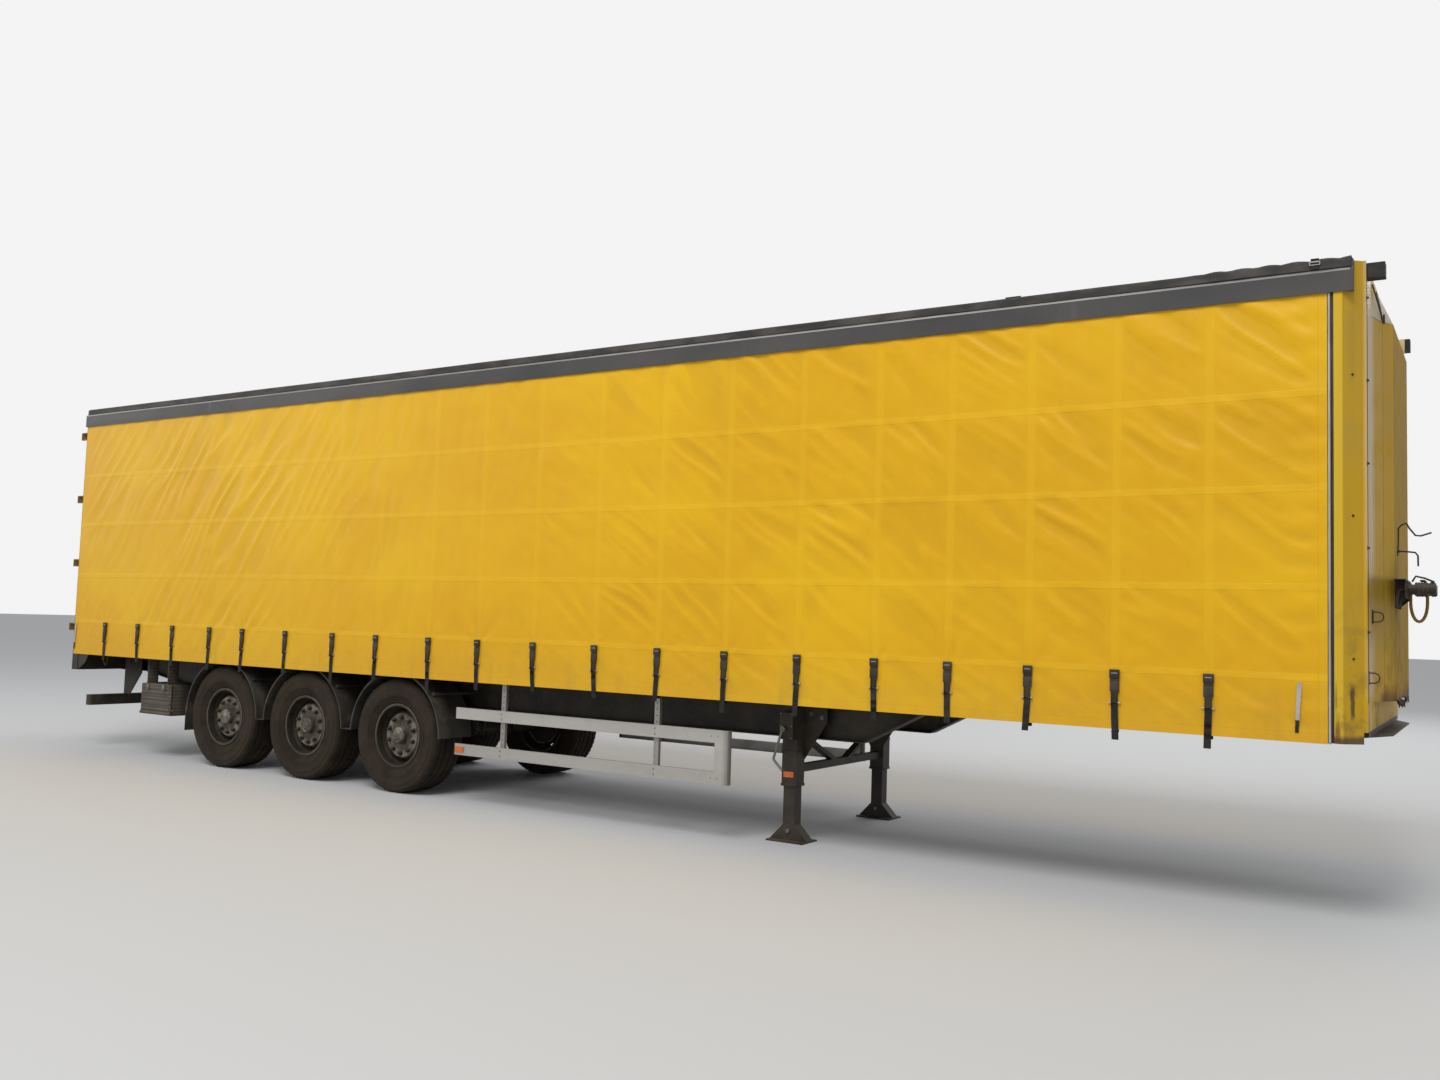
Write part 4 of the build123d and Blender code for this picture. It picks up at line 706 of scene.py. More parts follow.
# tyres: grooved tread, notched shoulders and ringed side walls, as radius and distance from the middle
tyre = {"steps": 192, "notches": 64, "notchDepth": 0.0055, "grooves": (-0.106, -0.04, 0.04, 0.106),
        "grooveHalf": 0.0065, "grooveEdge": 0.002, "grooveDepth": 0.012, "halfTread": 0.15,
        "crown": 0.0012, "notched": (0.115, 0.176)}
sideWall = [(0.2895, 0.1452), (0.3, 0.1475), (0.312, 0.156), (0.318, 0.16), (0.321, 0.1575),
            (0.345, 0.172), (0.375, 0.183), (0.379, 0.1862), (0.3835, 0.1858), (0.387, 0.185),
            (0.425, 0.1915), (0.452, 0.1912), (0.456, 0.1925), (0.462, 0.192), (0.466, 0.1898),
            (0.495, 0.184), (0.5, 0.1855), (0.506, 0.184), (0.509, 0.18), (0.521, 0.174),
            (0.53, 0.164), (0.5338, 0.1565)]


def makeTyre(side, number):
    low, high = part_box(f"tyre_{side}_{number}")
    centre = (low + high) / 2
    half, slope, edge = tyre["grooveHalf"], tyre["grooveEdge"], tyre["halfTread"]
    marks = [(-edge, 0)]
    for groove in tyre["grooves"]:
        marks += [(groove - half - slope, 0), (groove - half, 1)]
        marks += [(groove + half, 1), (groove + half + slope, 0)]
    marks.append((edge, 0))
    # the tyre stands on the floor, so that its centre is as high as its radius
    tread = [(centre.z - 0.0004 - tyre["crown"] * (out / edge) ** 2 - sunk * tyre["grooveDepth"], out)
             for out, sunk in marks]
    section = [*[(radius, -out) for radius, out in sideWall], *tread, *reversed(sideWall)]
    ring = Piece(f"tyre_tread_{side}_{number}", "tyre", body=f"wheel_{side}_{number}")
    made = [ring.mesh.verts.new((centre.x, centre.y + out, centre.z + radius)) for radius, out in section]
    edges = [ring.mesh.edges.new((made[i - 1], made[i])) for i in range(len(made))]
    bmesh.ops.spin(ring.mesh, geom=made + edges, cent=centre, axis=(0, 1, 0), angle=2 * pi,
                   steps=tyre["steps"], use_merge=True)
    innermost, outermost = tyre["notched"]
    for vertex in ring.mesh.verts:
        away = vertex.co - centre
        turn = atan2(away.z, away.x) / (2 * pi) * tyre["steps"]
        if innermost < abs(away.y) < outermost and round(turn) % (tyre["steps"] // tyre["notches"]) == 0:
            vertex.co -= Vector((away.x, 0, away.z)).normalized() * tyre["notchDepth"]
    piece = finishAll(ring, angle=38)[0]
    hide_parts(f"tyre_{side}_{number}")


# wheel nuts on washers, hub cap with its bolts, and the valve; rows are start, end, radius and segments
hub = {"nuts": 10, "nutCircle": 0.1675, "face": 0.097,
       "nut": ((0, 0.004, 0.0235, 16), (0.004, 0.027, 0.0185, 6, 0.01739), (0.027, 0.037, 0.0105, 10)),
       "capFace": 0.15, "capBolts": 6, "capBoltCircle": 0.054, "capBolt": (0.003, 0.009, 0.0062, 6),
       "cap": ((0, 0.004, 0.0645, 40), (0.004, 0.012, 0.044, 32, 0.036), (-0.036, -0.03, 0.0815, 40)),
       "valve": ((0.262, 0.07), (0.25, 0.112), (0.248, 0.122)), "valveAngle": 0.6}


def makeHub(side, number):
    low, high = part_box(f"tyre_{side}_{number}")
    centre = (low + high) / 2
    nuts, cap = (Piece(f"{name}_{side}_{number}", slotName, (sides[side],), f"wheel_{side}_{number}")
                 for name, slotName in (("wheel_nuts", "painted_chassis"), ("hub_cap", "rim")))

    def at(radius, angle, out):
        return (centre.x + radius * cos(angle), abs(centre.y) + out, centre.z + radius * sin(angle))

    for i in range(hub["nuts"]):
        angle = (i + 0.5) * 2 * pi / hub["nuts"]
        nuts.stack(at(hub["nutCircle"], angle, hub["face"]), "y", *hub["nut"])
    cap.stack(at(0, 0, hub["capFace"]), "y", *hub["cap"])
    for i in range(hub["capBolts"]):
        angle = i * 2 * pi / hub["capBolts"]
        cap.stack(at(hub["capBoltCircle"], angle, hub["capFace"]), "y", hub["capBolt"])
    valve = [at(radius, hub["valveAngle"], out) for radius, out in hub["valve"]]
    nuts.rod(valve[0], valve[1], 0.0045, 8)
    nuts.rod(valve[1], valve[2], 0.006, 8)
    finishAll(nuts, cap, angle=30)


for side, number in product(sides, (1, 2, 3)):
    makeTyre(side, number)
    makeHub(side, number)
print("wheels dressed")


# roof: coated fabric over the bows, its hems drawn down over the cantrails, bunched at the front
roof = {"columns": 420, "rest": 0.0012, "sag": 0.006, "firstBow": 0.48, "lastBow": 0.5, "bows": 19,
        "ripple": 0.0028, "bunch": 0.86, "bunchRise": 0.0085, "bunchOut": 0.006, "bunchPitch": 0.16}


def makeRoof():
    low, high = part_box("roof_sheet")
    drop, top = high.z - low.z - 0.011, high.z - 0.002
    # half the profile from the hem up and inward: y, z, and how much of the hem's movement it has
    half = [(high.y - roof["rest"], low.z + 0.001 + i / 6 * drop, 1 - i / 6) for i in range(7)]
    half += [(high.y - 0.0035, high.z - 0.0045, 0.0), (high.y - 0.009, top, 0.0)]
    half += [((high.y - 0.009) * (1 - i / 12), top, 0.0) for i in range(1, 13)]
    profile = [(-y, z, hem) for y, z, hem in half] + half[-2::-1]
    pitch = (curtainLength - roof["firstBow"] - roof["lastBow"]) / (roof["bows"] - 1)
    bunchX = frontX - roof["bunch"]
    cloth = Piece("roof_tarp_cloth", "roof_tarp")
    bmesh.ops.create_grid(cloth.mesh, x_segments=roof["columns"], y_segments=len(profile) - 1, size=0.5)
    for vertex in cloth.mesh.verts:
        x = low.x + (vertex.co.x + 0.5) * (high.x - low.x)
        y, z, hem = profile[round((vertex.co.y + 0.5) * (len(profile) - 1))]
        sign = 1 if y > 0 else -1
        wave = waver(x * 3.1, y * 1.4, 5.0)
        front = smooth(x, bunchX, bunchX + 0.25)
        bunch = abs(sin(x * pi / roof["bunchPitch"] + 1.6 * waver(x * 2, y * 3, 9.0)))
        if abs(y) < high.y - 0.02:
            between = 0.5 - 0.5 * cos(2 * pi * (x - rearX - roof["firstBow"]) / pitch)
            inboard = smooth(high.y - abs(y), 0.02, 0.25)
            z += -roof["sag"] * between * inboard * (1 - front) + 0.0016 * wave
            z += front * roof["bunchRise"] * (bunch - 0.25)
        else:
            y += sign * (roof["ripple"] * (0.5 + wave) * (0.3 + hem) + front * roof["bunchOut"] * bunch)
            z += (0.0022 * waver(x * 1.3, 2.0, sign) + front * roof["bunchRise"] * bunch) * (1 - hem)
            z -= 0.0045 * hem * (0.5 + waver(x * 0.9, 7.0, sign))
        vertex.co = (x, y, z)
    piece = cloth.finish(180)
    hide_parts("roof_sheet")
    arc = sum(hypot(b[0] - a[0], b[1] - a[1]) for a, b in zip(profile, profile[1:]))
    print("roof flat size", round(high.x - low.x, 3), round(arc, 3))


# straps over the hem, with a steel buckle near the front; its bars are length, height, place and level
roofStrap = {"x": -0.068, "width": 0.046, "thick": 0.003, "drop": 0.062, "level": 3.985, "reach": 0.3,
             "strip": (0.11, 0.012, 0.016), "stripX": 4.53, "barDepth": 0.006,
             "bars": ((0.064, 0.008, 0, 4.0), (0.064, 0.006, 0, 3.982),
                      (0.007, 0.026, -0.0285, 3.991), (0.007, 0.026, 0.0285, 3.991))}


def makeRoofStraps():
    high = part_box("roof_sheet")[1]
    webs, buckles = Piece("roof_strap", "webbing"), Piece("roof_strap_buckles", "galvanised")
    x, face = frontX + roofStrap["x"], high.y + 0.007
    width, thick = roofStrap["width"], roofStrap["thick"]
    webs.box((width, thick, roofStrap["drop"]), (x, face, roofStrap["level"]), 0.001, 1)
    webs.box((width, roofStrap["reach"], thick), (x, high.y - 0.14, high.z + 0.0075), 0.001, 1)
    webs.box(roofStrap["strip"], (roofStrap["stripX"], high.y - 0.03, high.z + 0.004), 0.004)
    for length, height, ahead, z in roofStrap["bars"]:
        buckles.box((length, roofStrap["barDepth"], height), (x + ahead, face + 0.003, z), 0.002, 1)
    webs.finish()
    buckles.finish()


makeRoof()
makeRoofStraps()
print("roof stretched")


# front wall: studs, wire hooks, hose holder, seams and the buffers' feet
frontWall = {"studs": (3.774, 3.27, 2.768, 2.261, 1.761), "studY": 1.16,
             "stud": ((-0.001, 0.003, 0.013, 14), (0.003, 0.013, 0.0085, 8, 0.006)),
             "bailWire": 0.004, "bails": ((1.105, 1.49), (0.895, 1.857)), "hoseWire": 0.0055,
             "hoseY": -0.36,
             "bail": ((0.0, 0.03), (0.03, 0.03), (0.05, 0.022), (0.058, 0.0), (0.05, -0.022),
                      (0.03, -0.03), (0.0, -0.03)),
             "upper": ((0.002, 2.3), (0.004, 2.44), (0.02, 2.462), (0.05, 2.475), (0.067, 2.44),
                       (0.1, 2.395), (0.13, 2.392), (0.19, 2.412)),
             "lower": ((0.002, 2.292), (0.045, 2.29), (0.1, 2.283), (0.115, 2.262), (0.116, 2.195)),
             "hips": ((0.0045, ((0.004, 0.815, 3.945), (0.03, 0.765, 3.835), (0.056, 0.722, 3.718))),
                      (0.003, ((0.01, 0.612, 3.945), (0.036, 0.668, 3.83), (0.056, 0.722, 3.718))))}


def makeFrontFittings():
    studs, wires = Piece("wall_studs", "black_plastic"), Piece("wall_hooks", "painted_chassis")
    seams = Piece("wall_seams", "painted_chassis")
    for z in frontWall["studs"]:
        studs.stack((wallX, frontWall["studY"], z), "x", *frontWall["stud"])
    for y, z in frontWall["bails"]:
        foot = wallX if y > 1 else wallX + 0.006
        wires.box((0.004, 0.024, 0.085), (foot + 0.001, y, z), 0.001, 1)
        wires.tube([(foot + out, y, z + up) for out, up in frontWall["bail"]], frontWall["bailWire"], 6)
    # folded seam beside the corner post, and the sealed hip of the nose
    seams.box((0.003, 0.006, 2.56), (wallX + 0.0014, 1.135, 2.62), 0.001, 1)
    seams.box((0.012, 0.01, 0.06), (wallX + 0.06, 0.716, 3.74), 0.003, 1)
    for radius, path in frontWall["hips"]:
        seams.tube([(wallX + out, y, z) for out, y, z in path], radius, 6)
    # hose holder: two bent wires that stand ahead of the nose
    hoseY = frontWall["hoseY"]
    for path, y in ((frontWall["upper"], hoseY), (frontWall["lower"], hoseY - 0.03)):
        wires.tube([(noseX + out, y, z) for out, z in path], frontWall["hoseWire"], 8, asGiven)
    wires.box((0.005, 0.08, 0.06), (noseX + 0.003, hoseY - 0.015, 2.292), 0.002, 1, signs=asGiven)
    for y in (hoseY - 0.045, hoseY + 0.015):
        wires.stack((noseX, y, 2.292), "x", (0.005, 0.012, 0.008, 6), signs=asGiven)
    finishAll(studs, wires, seams)


# rivet rows along the nose's edges
rivet = {"head": (-0.001, 0.0022, 0.0055, 8, 0.0033), "across": (0.575, 0.3), "wallAcross": 0.945,
         "pitch": 0.16, "low": 1.42, "high": 3.66}


def makeRivets():
    rivets = Piece("wall_rivets", "painted_yellow")
    z = rivet["low"]
    while z < rivet["high"]:
        for x, y in (*((noseX, across) for across in rivet["across"]), (wallX, rivet["wallAcross"])):
            rivets.stack((x, y, z), "x", rivet["head"])
        z += rivet["pitch"]
    rivets.finish()


# couplings: ribbed grips, sprung caps and a hose loop below the bracket; places are y, radius and reach
coupling = {"places": ((-0.65, 0.034, 0.158), (-0.54, 0.042, 0.11), (-0.43, 0.042, 0.11),
                       (-0.32, 0.034, 0.15)),
            "face": 0.372, "level": 2.0425, "ring": 0.0035, "rings": 4, "boltRows": (2.085, 2.0),
            "bolts": (-0.69, -0.59, -0.375, -0.28), "bolt": (-0.001, 0.006, 0.007, 6),
            "flangeBolt": (0.004, 0.011, 0.005, 6), "loop": (0.046, 0.118), "loopPlace": (0.058, -0.5, 1.958),
            "loopTop": 2.01, "loopRadius": 0.0095, "tailRadius": 0.0085, "leverRadius": 0.006,
            "tail": ((-0.006, 0, 0), (-0.04, 0, -0.01), (-0.055, 0, -0.06), (-0.06, 0.02, -0.12)),
            "lever": ((0.03, -0.655, 2.085), (0.05, -0.668, 2.118), (0.1, -0.675, 2.105),
                      (0.15, -0.672, 2.082))}


def makeCouplings():
    grips, caps, loop = (Piece(name, slotName, asGiven) for name, slotName in (
        ("coupling_grips", "black_plastic"), ("coupling_caps", "painted_chassis"),
        ("hose_loop", "painted_yellow")))
    face, level = frontX + coupling["face"], coupling["level"]
    for index, (y, radius, reach) in enumerate(coupling["places"]):
        foot, end = (face, y, level), face + reach
        for start in [reach * (0.4 + i * 0.13) for i in range(coupling["rings"])]:
            ring = (start, start + reach * 0.06, radius + coupling["ring"], 20, radius + 0.001)
            grips.stack(foot, "x", ring)
        grips.stack(foot, "x", (0, 0.006, radius + 0.01, 24))
        for angle in (radians(45 + 90 * turn) for turn in range(4)):
            spot = (face, y + (radius + 0.004) * cos(angle), level + (radius + 0.004) * sin(angle))
            grips.stack(spot, "x", coupling["flangeBolt"])
        if index in (1, 2):
            caps.box((0.012, radius * 1.7, 0.016), (end - 0.018, y, level + radius + 0.006), 0.003)
            caps.box((0.03, 0.02, 0.01), (end - 0.03, y, level + radius + 0.012), 0.003)
        else:
            caps.stack((end, y, level), "x", (-0.03, -0.006, radius + 0.005, 24))
            caps.box((0.016, 0.03, 0.012), (end - 0.02, y, level + radius + 0.008), 0.003)
        tail = [(face + out, y + across, level + up) for out, across, up in coupling["tail"]]
        grips.tube(tail, coupling["tailRadius"], 8)
    # lever on the near coupling and the yellow hose loop
    caps.tube([(face + out, y, z) for out, y, z in coupling["lever"]], coupling["leverRadius"], 8)
    (across, down), (ahead, loopY, loopZ) = coupling["loop"], coupling["loopPlace"]
    turns = [pi + i / 12 * pi for i in range(13)]
    path = [(face + ahead + across * cos(turn), loopY, loopZ + down * sin(turn)) for turn in turns]
    first, last = ((x, loopY, coupling["loopTop"]) for x, y, z in (path[0], path[-1]))
    loop.tube([first, *path, last], coupling["loopRadius"], 10)
    for y, z in product(coupling["bolts"], coupling["boltRows"]):
        caps.stack((face, y, z), "x", coupling["bolt"])
    finishAll(grips, caps, loop)


# corner posts and rails: end caps, bolts, dark seals that also stand for the shaded gap beside the poles, a
# pale ledge strip for a painted highlight, torn sheet below the nose
trim = {"capThick": (0.01, 0.006), "tearHigh": 1.352, "tearSteps": 34, "sealFoot": 1.1,
        "postBolts": (1.6, 2.45, 3.3), "tears": ((-0.6, -0.33, 0.012), (0.1, 0.42, 0.006)),
        "buffer": (1.105, 3.945)}


def makeFrontTrim():
    caps, bolts = Piece("rail_end_caps", "painted_rail"), Piece("post_bolts", "painted_chassis")
    torn, feet = Piece("nose_torn_edge", "painted_chassis"), Piece("buffer_feet", "rubber")
    ledges, sealsAndShadowStrips = Piece("rail_ledges", "aluminium"), Piece("post_shadow_seals", "black_plastic")
    sleeve = Piece("buffer_sleeve", "painted_yellow", asGiven)
    railLow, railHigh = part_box("cantrails")
    frontThick, rearThick = trim["capThick"]
    outer = railHigh.y + 0.001
    section = [(1.18, 3.812), (outer, 3.799), (outer, 3.932), (1.266, 3.95), (1.266, 3.999), (1.18, 3.999)]
    ends = ((railHigh.x + 0.0004, frontThick), (railLow.x - 0.0004 - rearThick, rearThick))
    for sign, (start, thick) in product(both, ends):
        near, far = ([caps.mesh.verts.new((x, sign * y, z)) for y, z in section]
                     for x in (start, start + thick))
        walls = [(near[i - 1], near[i], far[i], far[i - 1]) for i in range(len(section))]
        for corners in (near, far[::-1], *walls):
            caps.mesh.faces.new(corners)
    bolts.rod((frontX + 0.13, 1.228, 3.978), (frontX + 0.138, 1.22, 3.978), 0.008, 6)
    outward = Vector((0.683, 0.73, 0))
    for z in trim["postBolts"]:
        spot = Vector((frontX + 0.1295, 1.2275, z))
        bolts.rod(spot - outward * 0.002, spot + outward * 0.005, 0.0075, 6)
    bufferY, bufferZ = trim["buffer"]
    feet.stack((wallX, bufferY, bufferZ), "x", (0.001, 0.02, 0.034, 20))
    sleeve.box((0.066, 0.096, 0.096), (wallX + 0.0335, bufferY, bufferZ), 0.004)
    # a pale strip on the rail's ledge: a painted highlight where the ledge catches light
    ledges.box((railHigh.x - railLow.x - 0.01, 0.0022, 0.028), ((railLow.x + railHigh.x) / 2, 1.275, 3.9365),
               0.0008, 1, radians(49))
    # dark seal strips beside the tension pole, also standing for the shadow in the gap there
    sealLength = lipZ + 0.034 - trim["sealFoot"]
    sealMiddle = trim["sealFoot"] + sealLength / 2
    for width, depth, ahead, y, bevel, segments in ((0.0175, 0.006, 0.0245, 1.2605, 0.002, 1),
                                                    (0.012, 0.01, 0.027, 1.265, 0.004, 2)):
        sealsAndShadowStrips.box((width, depth, sealLength), (frontX + ahead, y, sealMiddle), bevel, segments)
    # ragged sheet where the nose's lower edge is torn
    last, high = trim["tearSteps"] - 1, trim["tearHigh"]
    for start, end, lean in trim["tears"]:
        rows = []
        for i in range(trim["tearSteps"]):
            y = start + i / last * (end - start)
            drop = high - (0.03 + 0.03 * waver(y * 28, 0, 3) + 0.012 * (i % 3))
            drop = high - 0.012 if i in (0, last) else drop
            out = lean * (1 + 1.3 * waver(y * 19, 4, 1))
            rows.append([torn.mesh.verts.new((noseX + ahead, y, z)) for ahead, z in (
                (0.001, high), (0.002 + out * 0.5, (high + drop) / 2), (0.002 + out * 1.6, drop))])
        for (first, second), k in product(zip(rows, rows[1:]), range(2)):
            torn.mesh.faces.new((first[k], second[k], second[k + 1], first[k + 1]))
    finishAll(caps, bolts, torn, feet, ledges, sealsAndShadowStrips, sleeve)


makeFrontFittings()
makeRivets()
makeCouplings()
makeFrontTrim()
print("front fitted")


# rear doors: rubber seals, hinge and guide bolts, sleeves on the handles as rod, level and direction
door = {"outer": -0.0525, "edge": 1.2355, "low": 1.205, "high": 3.895, "seal": 0.022,
        "hinges": (1.41, 2.17, 2.93, 3.69), "hingeBolts": (1.185, 1.11, 1.035),
        "guides": (1.3, 2.1, 2.9, 3.78), "rods": (0.3, 0.95), "rodX": -0.075, "sleeve": 0.125,
        "handles": ((0.3, 1.64, 1), (0.95, 1.58, -1)), "handleEnd": 0.39,
        "hingeBolt": (-0.007, -0.0135, 0.0075, 10, 0.004), "guideBolt": (-0.0155, -0.022, 0.0048, 6),
        "catchPin": (0.008, -0.012, 0.006, 8)}


def makeDoorTrim(side):
    sealsAndShadowStrips, bolts, sleeves = (
        Piece(f"{name}_{side}", slotName, (sides[side],), f"door_{side}") for name, slotName in (
            ("door_seals", "rubber"), ("door_bolts", "galvanised"), ("handle_sleeves", "rubber")))
    outer, rodX = rearX + door["outer"], rearX + door["rodX"]
    low, high, edge, seal, sleeve = (door[key] for key in ("low", "high", "edge", "seal", "sleeve"))
    for y in (0.0065 + seal / 2, edge - seal / 2):
        sealsAndShadowStrips.box((0.006, seal, high - low), (outer - 0.001, y, (low + high) / 2), 0.002, 1)
    for z in (low + seal / 2, high - seal / 2):
        sealsAndShadowStrips.box((0.006, edge - 0.008, seal), (outer - 0.0012, (edge + 0.006) / 2, z), 0.002, 1)
    for z, y, up in product(door["hinges"], door["hingeBolts"], (-0.014, 0.014)):
        bolts.stack((outer, y, z + up), "x", door["hingeBolt"])
    for place, z, step, up in product(door["rods"], door["guides"], (-0.0185, 0.0185), (-0.012, 0.012)):
        bolts.stack((rodX, place + step, z + up), "x", door["guideBolt"])
    for place, level, step in door["handles"]:
        middle = place + step * (door["handleEnd"] - sleeve / 2)
        sleeves.box((0.018, sleeve, 0.038), (rodX, middle, level), 0.006)
        bolts.stack((rodX, place + step * 0.32, level - 0.03), "x", door["catchPin"])
        bolts.box((0.024, 0.008, 0.03), (rodX + 0.004, place + step * 0.345, level - 0.018), 0.002, 1)
    finishAll(sealsAndShadowStrips, bolts, sleeves)


# rear lamps: three round lenses in a bezel on each side of the sill
lampCluster = {"places": (0.84, 0.98, 1.12), "level": 1.0025, "strips": (1.066, 0.939),
               "bezel": (0.001, -0.008, 0.06, 32, 0.057),
               "lens": ((-0.006, -0.0105, 0.052, 32, 0.05), (-0.0105, -0.015, 0.05, 32, 0.036))}


def makeLamps():
    bezels, red = Piece("lamp_bezels", "black_plastic"), Piece("red_lenses", "lamp")
    amber = Piece("amber_lenses", "reflector")
    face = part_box("rear_lamps")[0].x
    for y, lens in zip(lampCluster["places"], (red, red, amber)):
        bezels.stack((face, y, lampCluster["level"]), "x", lampCluster["bezel"])
        lens.stack((face, y, lampCluster["level"]), "x", *lampCluster["lens"])
    for z in lampCluster["strips"]:
        bezels.box((0.006, 0.43, 0.01), (face - 0.001, 0.98, z), 0.002, 1)
    finishAll(bezels, red, amber)


# pale tongues sewn to the curtain's lower corners, and a wire that hangs below the first strap
tongue = {"width": 0.026, "thick": 0.0016, "top": 1.448, "low": 1.15, "tip": 0.045, "steps": 8,
          "places": (6.3485, -6.868), "wireY": 1.262, "wire": (
              (0.6, 1.082), (0.612, 1.05), (0.64, 1.005), (0.668, 0.985), (0.69, 1.0),
              (0.7, 1.05), (0.705, 1.095))}


def makeTongues():
    pale, dark = Piece("corner_tongues", "aluminium"), Piece("tongue_tips", "webbing")
    wire = Piece("hanging_wire", "painted_chassis")
    steps = tongue["steps"]
    step = (tongue["top"] - tongue["low"]) / steps
    for x, i in product(tongue["places"], range(steps)):
        foot = tongue["top"] - step * (i + 1)
        piece = dark if foot < tongue["low"] + tongue["tip"] else pale
        bow = 0.0022 + 0.003 * sin(pi * (i + 0.5) / steps)
        piece.box((tongue["width"] * (1 - 0.25 * i / steps), tongue["thick"], step + 0.001),
                  (x - 0.002 * i, curtainFace + bow, foot + step / 2))
    wire.tube([(rearX + x, tongue["wireY"], z) for x, z in tongue["wire"]], 0.003, 6)
    finishAll(pale, dark, wire)


# side guards, mudguards and tool box: bolts, plugs, caps and latches
guard = {"outer": 1.24, "rails": (0.433, 0.757), "rear": -0.627, "front": 2.233,
         "bolt": (-0.001, 0.0035, 0.0095, 14, 0.006), "noseBolt": (-0.001, 0.003, 0.006, 10, 0.004)}
arch = {"radius": 0.6205, "angles": (radians(42), radians(138)), "plug": (-0.012, 0.004, 0.0205, 18, 0.017),
        "flap": 0.6078, "ribs": 7, "ribPitch": 0.054, "flapBolts": 3, "boltPitch": 0.136,
        "flapBolt": (0.003, -0.006, 0.011, 12, 0.008)}
latch = {"inset": 0.13, "plate": (0.046, 0.01, 0.062), "plateLevel": 0.78, "hasp": (0.02, 0.014, 0.026),
         "haspLevel": 0.772, "pin": (-0.02, 0.02, 0.0045, 8), "pinLevel": 0.806}


def makeSideTrim():
    bolts, caps = Piece("side_bolts", "steel"), Piece("side_caps", "black_plastic")
    ribs, latches = Piece("flap_ribs", "rubber"), Piece("lid_latches", "steel", asGiven, "tool_box_lid")
    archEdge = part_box("mudguards")[1].y
    boxLow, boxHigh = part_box("tool_box_lid")
    outer, rear, front = guard["outer"], guard["rear"], guard["front"]
    for level in guard["rails"]:
        caps.box((0.012, 0.027, 0.102), (rear - 0.004, outer - 0.0125, level + 0.05), 0.004)
        for x, up in product((rear + 0.55, front - 0.64), (0.028, 0.072)):
            bolts.stack((x, outer, level + up), "y", guard["bolt"])
        for x in (front - 0.03, front - 0.09):
            bolts.stack((x, outer, level + 0.05), "y", guard["noseBolt"])
    for centre, angle in product(axleCentres, arch["angles"]):
        outward = Vector((cos(angle), 0, sin(angle)))
        spot = Vector((centre.x, archEdge - 0.04, centre.z)) + outward * arch["radius"]
        caps.stack(spot, "y", arch["plug"])
        for inboard in (0.1, 0.3):
            bolts.box((0.02, 0.04, 0.02), spot - outward * 0.021 - Vector((0, inboard, 0)), 0.004, 1)
    flapX = axleCentres[0].x - arch["flap"]
    for i in range(arch["ribs"]):
        y = archEdge - 0.045 - i * arch["ribPitch"]
        ribs.box((0.004, 0.012, 0.215), (flapX - 0.001, y, 0.462), 0.0015, 1)
    for i in range(arch["flapBolts"]):
        y = archEdge - 0.07 - i * arch["boltPitch"]
        bolts.stack((flapX, y, 0.588), "x", arch["flapBolt"])
    for x in (boxLow.x + latch["inset"], boxHigh.x - latch["inset"]):
        latches.box(latch["plate"], (x, boxLow.y - 0.004, latch["plateLevel"]), 0.003)
        latches.box(latch["hasp"], (x, boxLow.y - 0.008, latch["haspLevel"]), 0.004)
        latches.stack((x, boxLow.y - 0.006, latch["pinLevel"]), "x", latch["pin"])
    finishAll(bolts, caps, ribs, latches)


# landing legs: plate bolts, collars, foot pins, and the boss and zinc sleeve of the crank
leg = {"x": 2.633, "y": 0.795, "plate": 0.73, "crankBend": 0.026, "crankRadius": 0.0103,
       "crank": ((-0.02, 0.036, 0.88), (-0.02, 0.009, 0.88), (-0.095, 0.009, 0.64),
                 (-0.01, 0.009, 0.56)),
       "plateBolts": ((-0.125, 1.085), (-0.125, 0.965), (0.12, 1.085), (0.12, 1.0), (0.215, 1.085),
                      (0.215, 0.975)),
       "plateBolt": ((-0.001, 0.004, 0.019, 16), (0.004, 0.016, 0.0135, 6)),
       "footPin": (-0.072, 0.072, 0.016, 16), "padBolt": (0.011, 0.017, 0.012, 10),
       "collars": ((0.142, 0.022, 0.441, 0.004), (0.138, 0.016, 0.7, 0.003)),
       "gearBolts": (0.812, 0.905, 0.998), "gearFace": -0.919, "gearBolt": (0, -0.0065, 0.007, 6),
       "boss": (0.01, 0.034, 0.022, 20)}


# points along a path of straight runs joined by arcs
def roundedPath(corners, radius):
    path = [corners[0]]
    for before, corner, after in zip(corners, corners[1:], corners[2:]):
        back, ahead = (before - corner).normalized(), (after - corner).normalized()
        half = back.angle(ahead) / 2
        centre = corner + (back + ahead).normalized() * (radius / sin(half))
        first, last = ((corner + way * (radius / tan(half)) - centre).normalized() for way in (back, ahead))
        path += [centre + first.slerp(last, step / 6) * radius for step in range(7)]
    return [*path, corners[-1]]


def makeLegTrim():
    bolts, collars = Piece("leg_bolts", "steel"), Piece("leg_collars", "painted_chassis")
    boss, sleeve = Piece("crank_boss", "steel", asGiven), Piece("crank_sleeve", "galvanised", asGiven)
    legX, legY, gearY = leg["x"], leg["y"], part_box("leg_gear")[0].y
    for ahead, z in leg["plateBolts"]:
        bolts.stack((legX + ahead, leg["plate"], z), "y", *leg["plateBolt"])
    for width, height, z, bevel in leg["collars"]:
        collars.box((width, width, height), (legX, legY, z), bevel)
    bolts.stack((legX, legY, 0.085), "y", leg["footPin"])
    for ahead, across in product((-0.125, 0.125), (-0.085, 0.085)):
        collars.stack((legX + ahead, legY + across, 0), "z", leg["padBolt"])
    for ahead, z in product((-0.05, 0.046), leg["gearBolts"]):
        bolts.stack((legX + ahead, leg["gearFace"], z), "y", leg["gearBolt"], signs=asGiven)
    boss.stack((legX - 0.02, gearY, 0.88), "y", leg["boss"])
    turns = [Vector((legX + ahead, gearY + out, z)) for ahead, out, z in leg["crank"]]
    sleeve.tube(roundedPath(turns, leg["crankBend"]), leg["crankRadius"], 10)
    finishAll(bolts, collars, boss, sleeve)


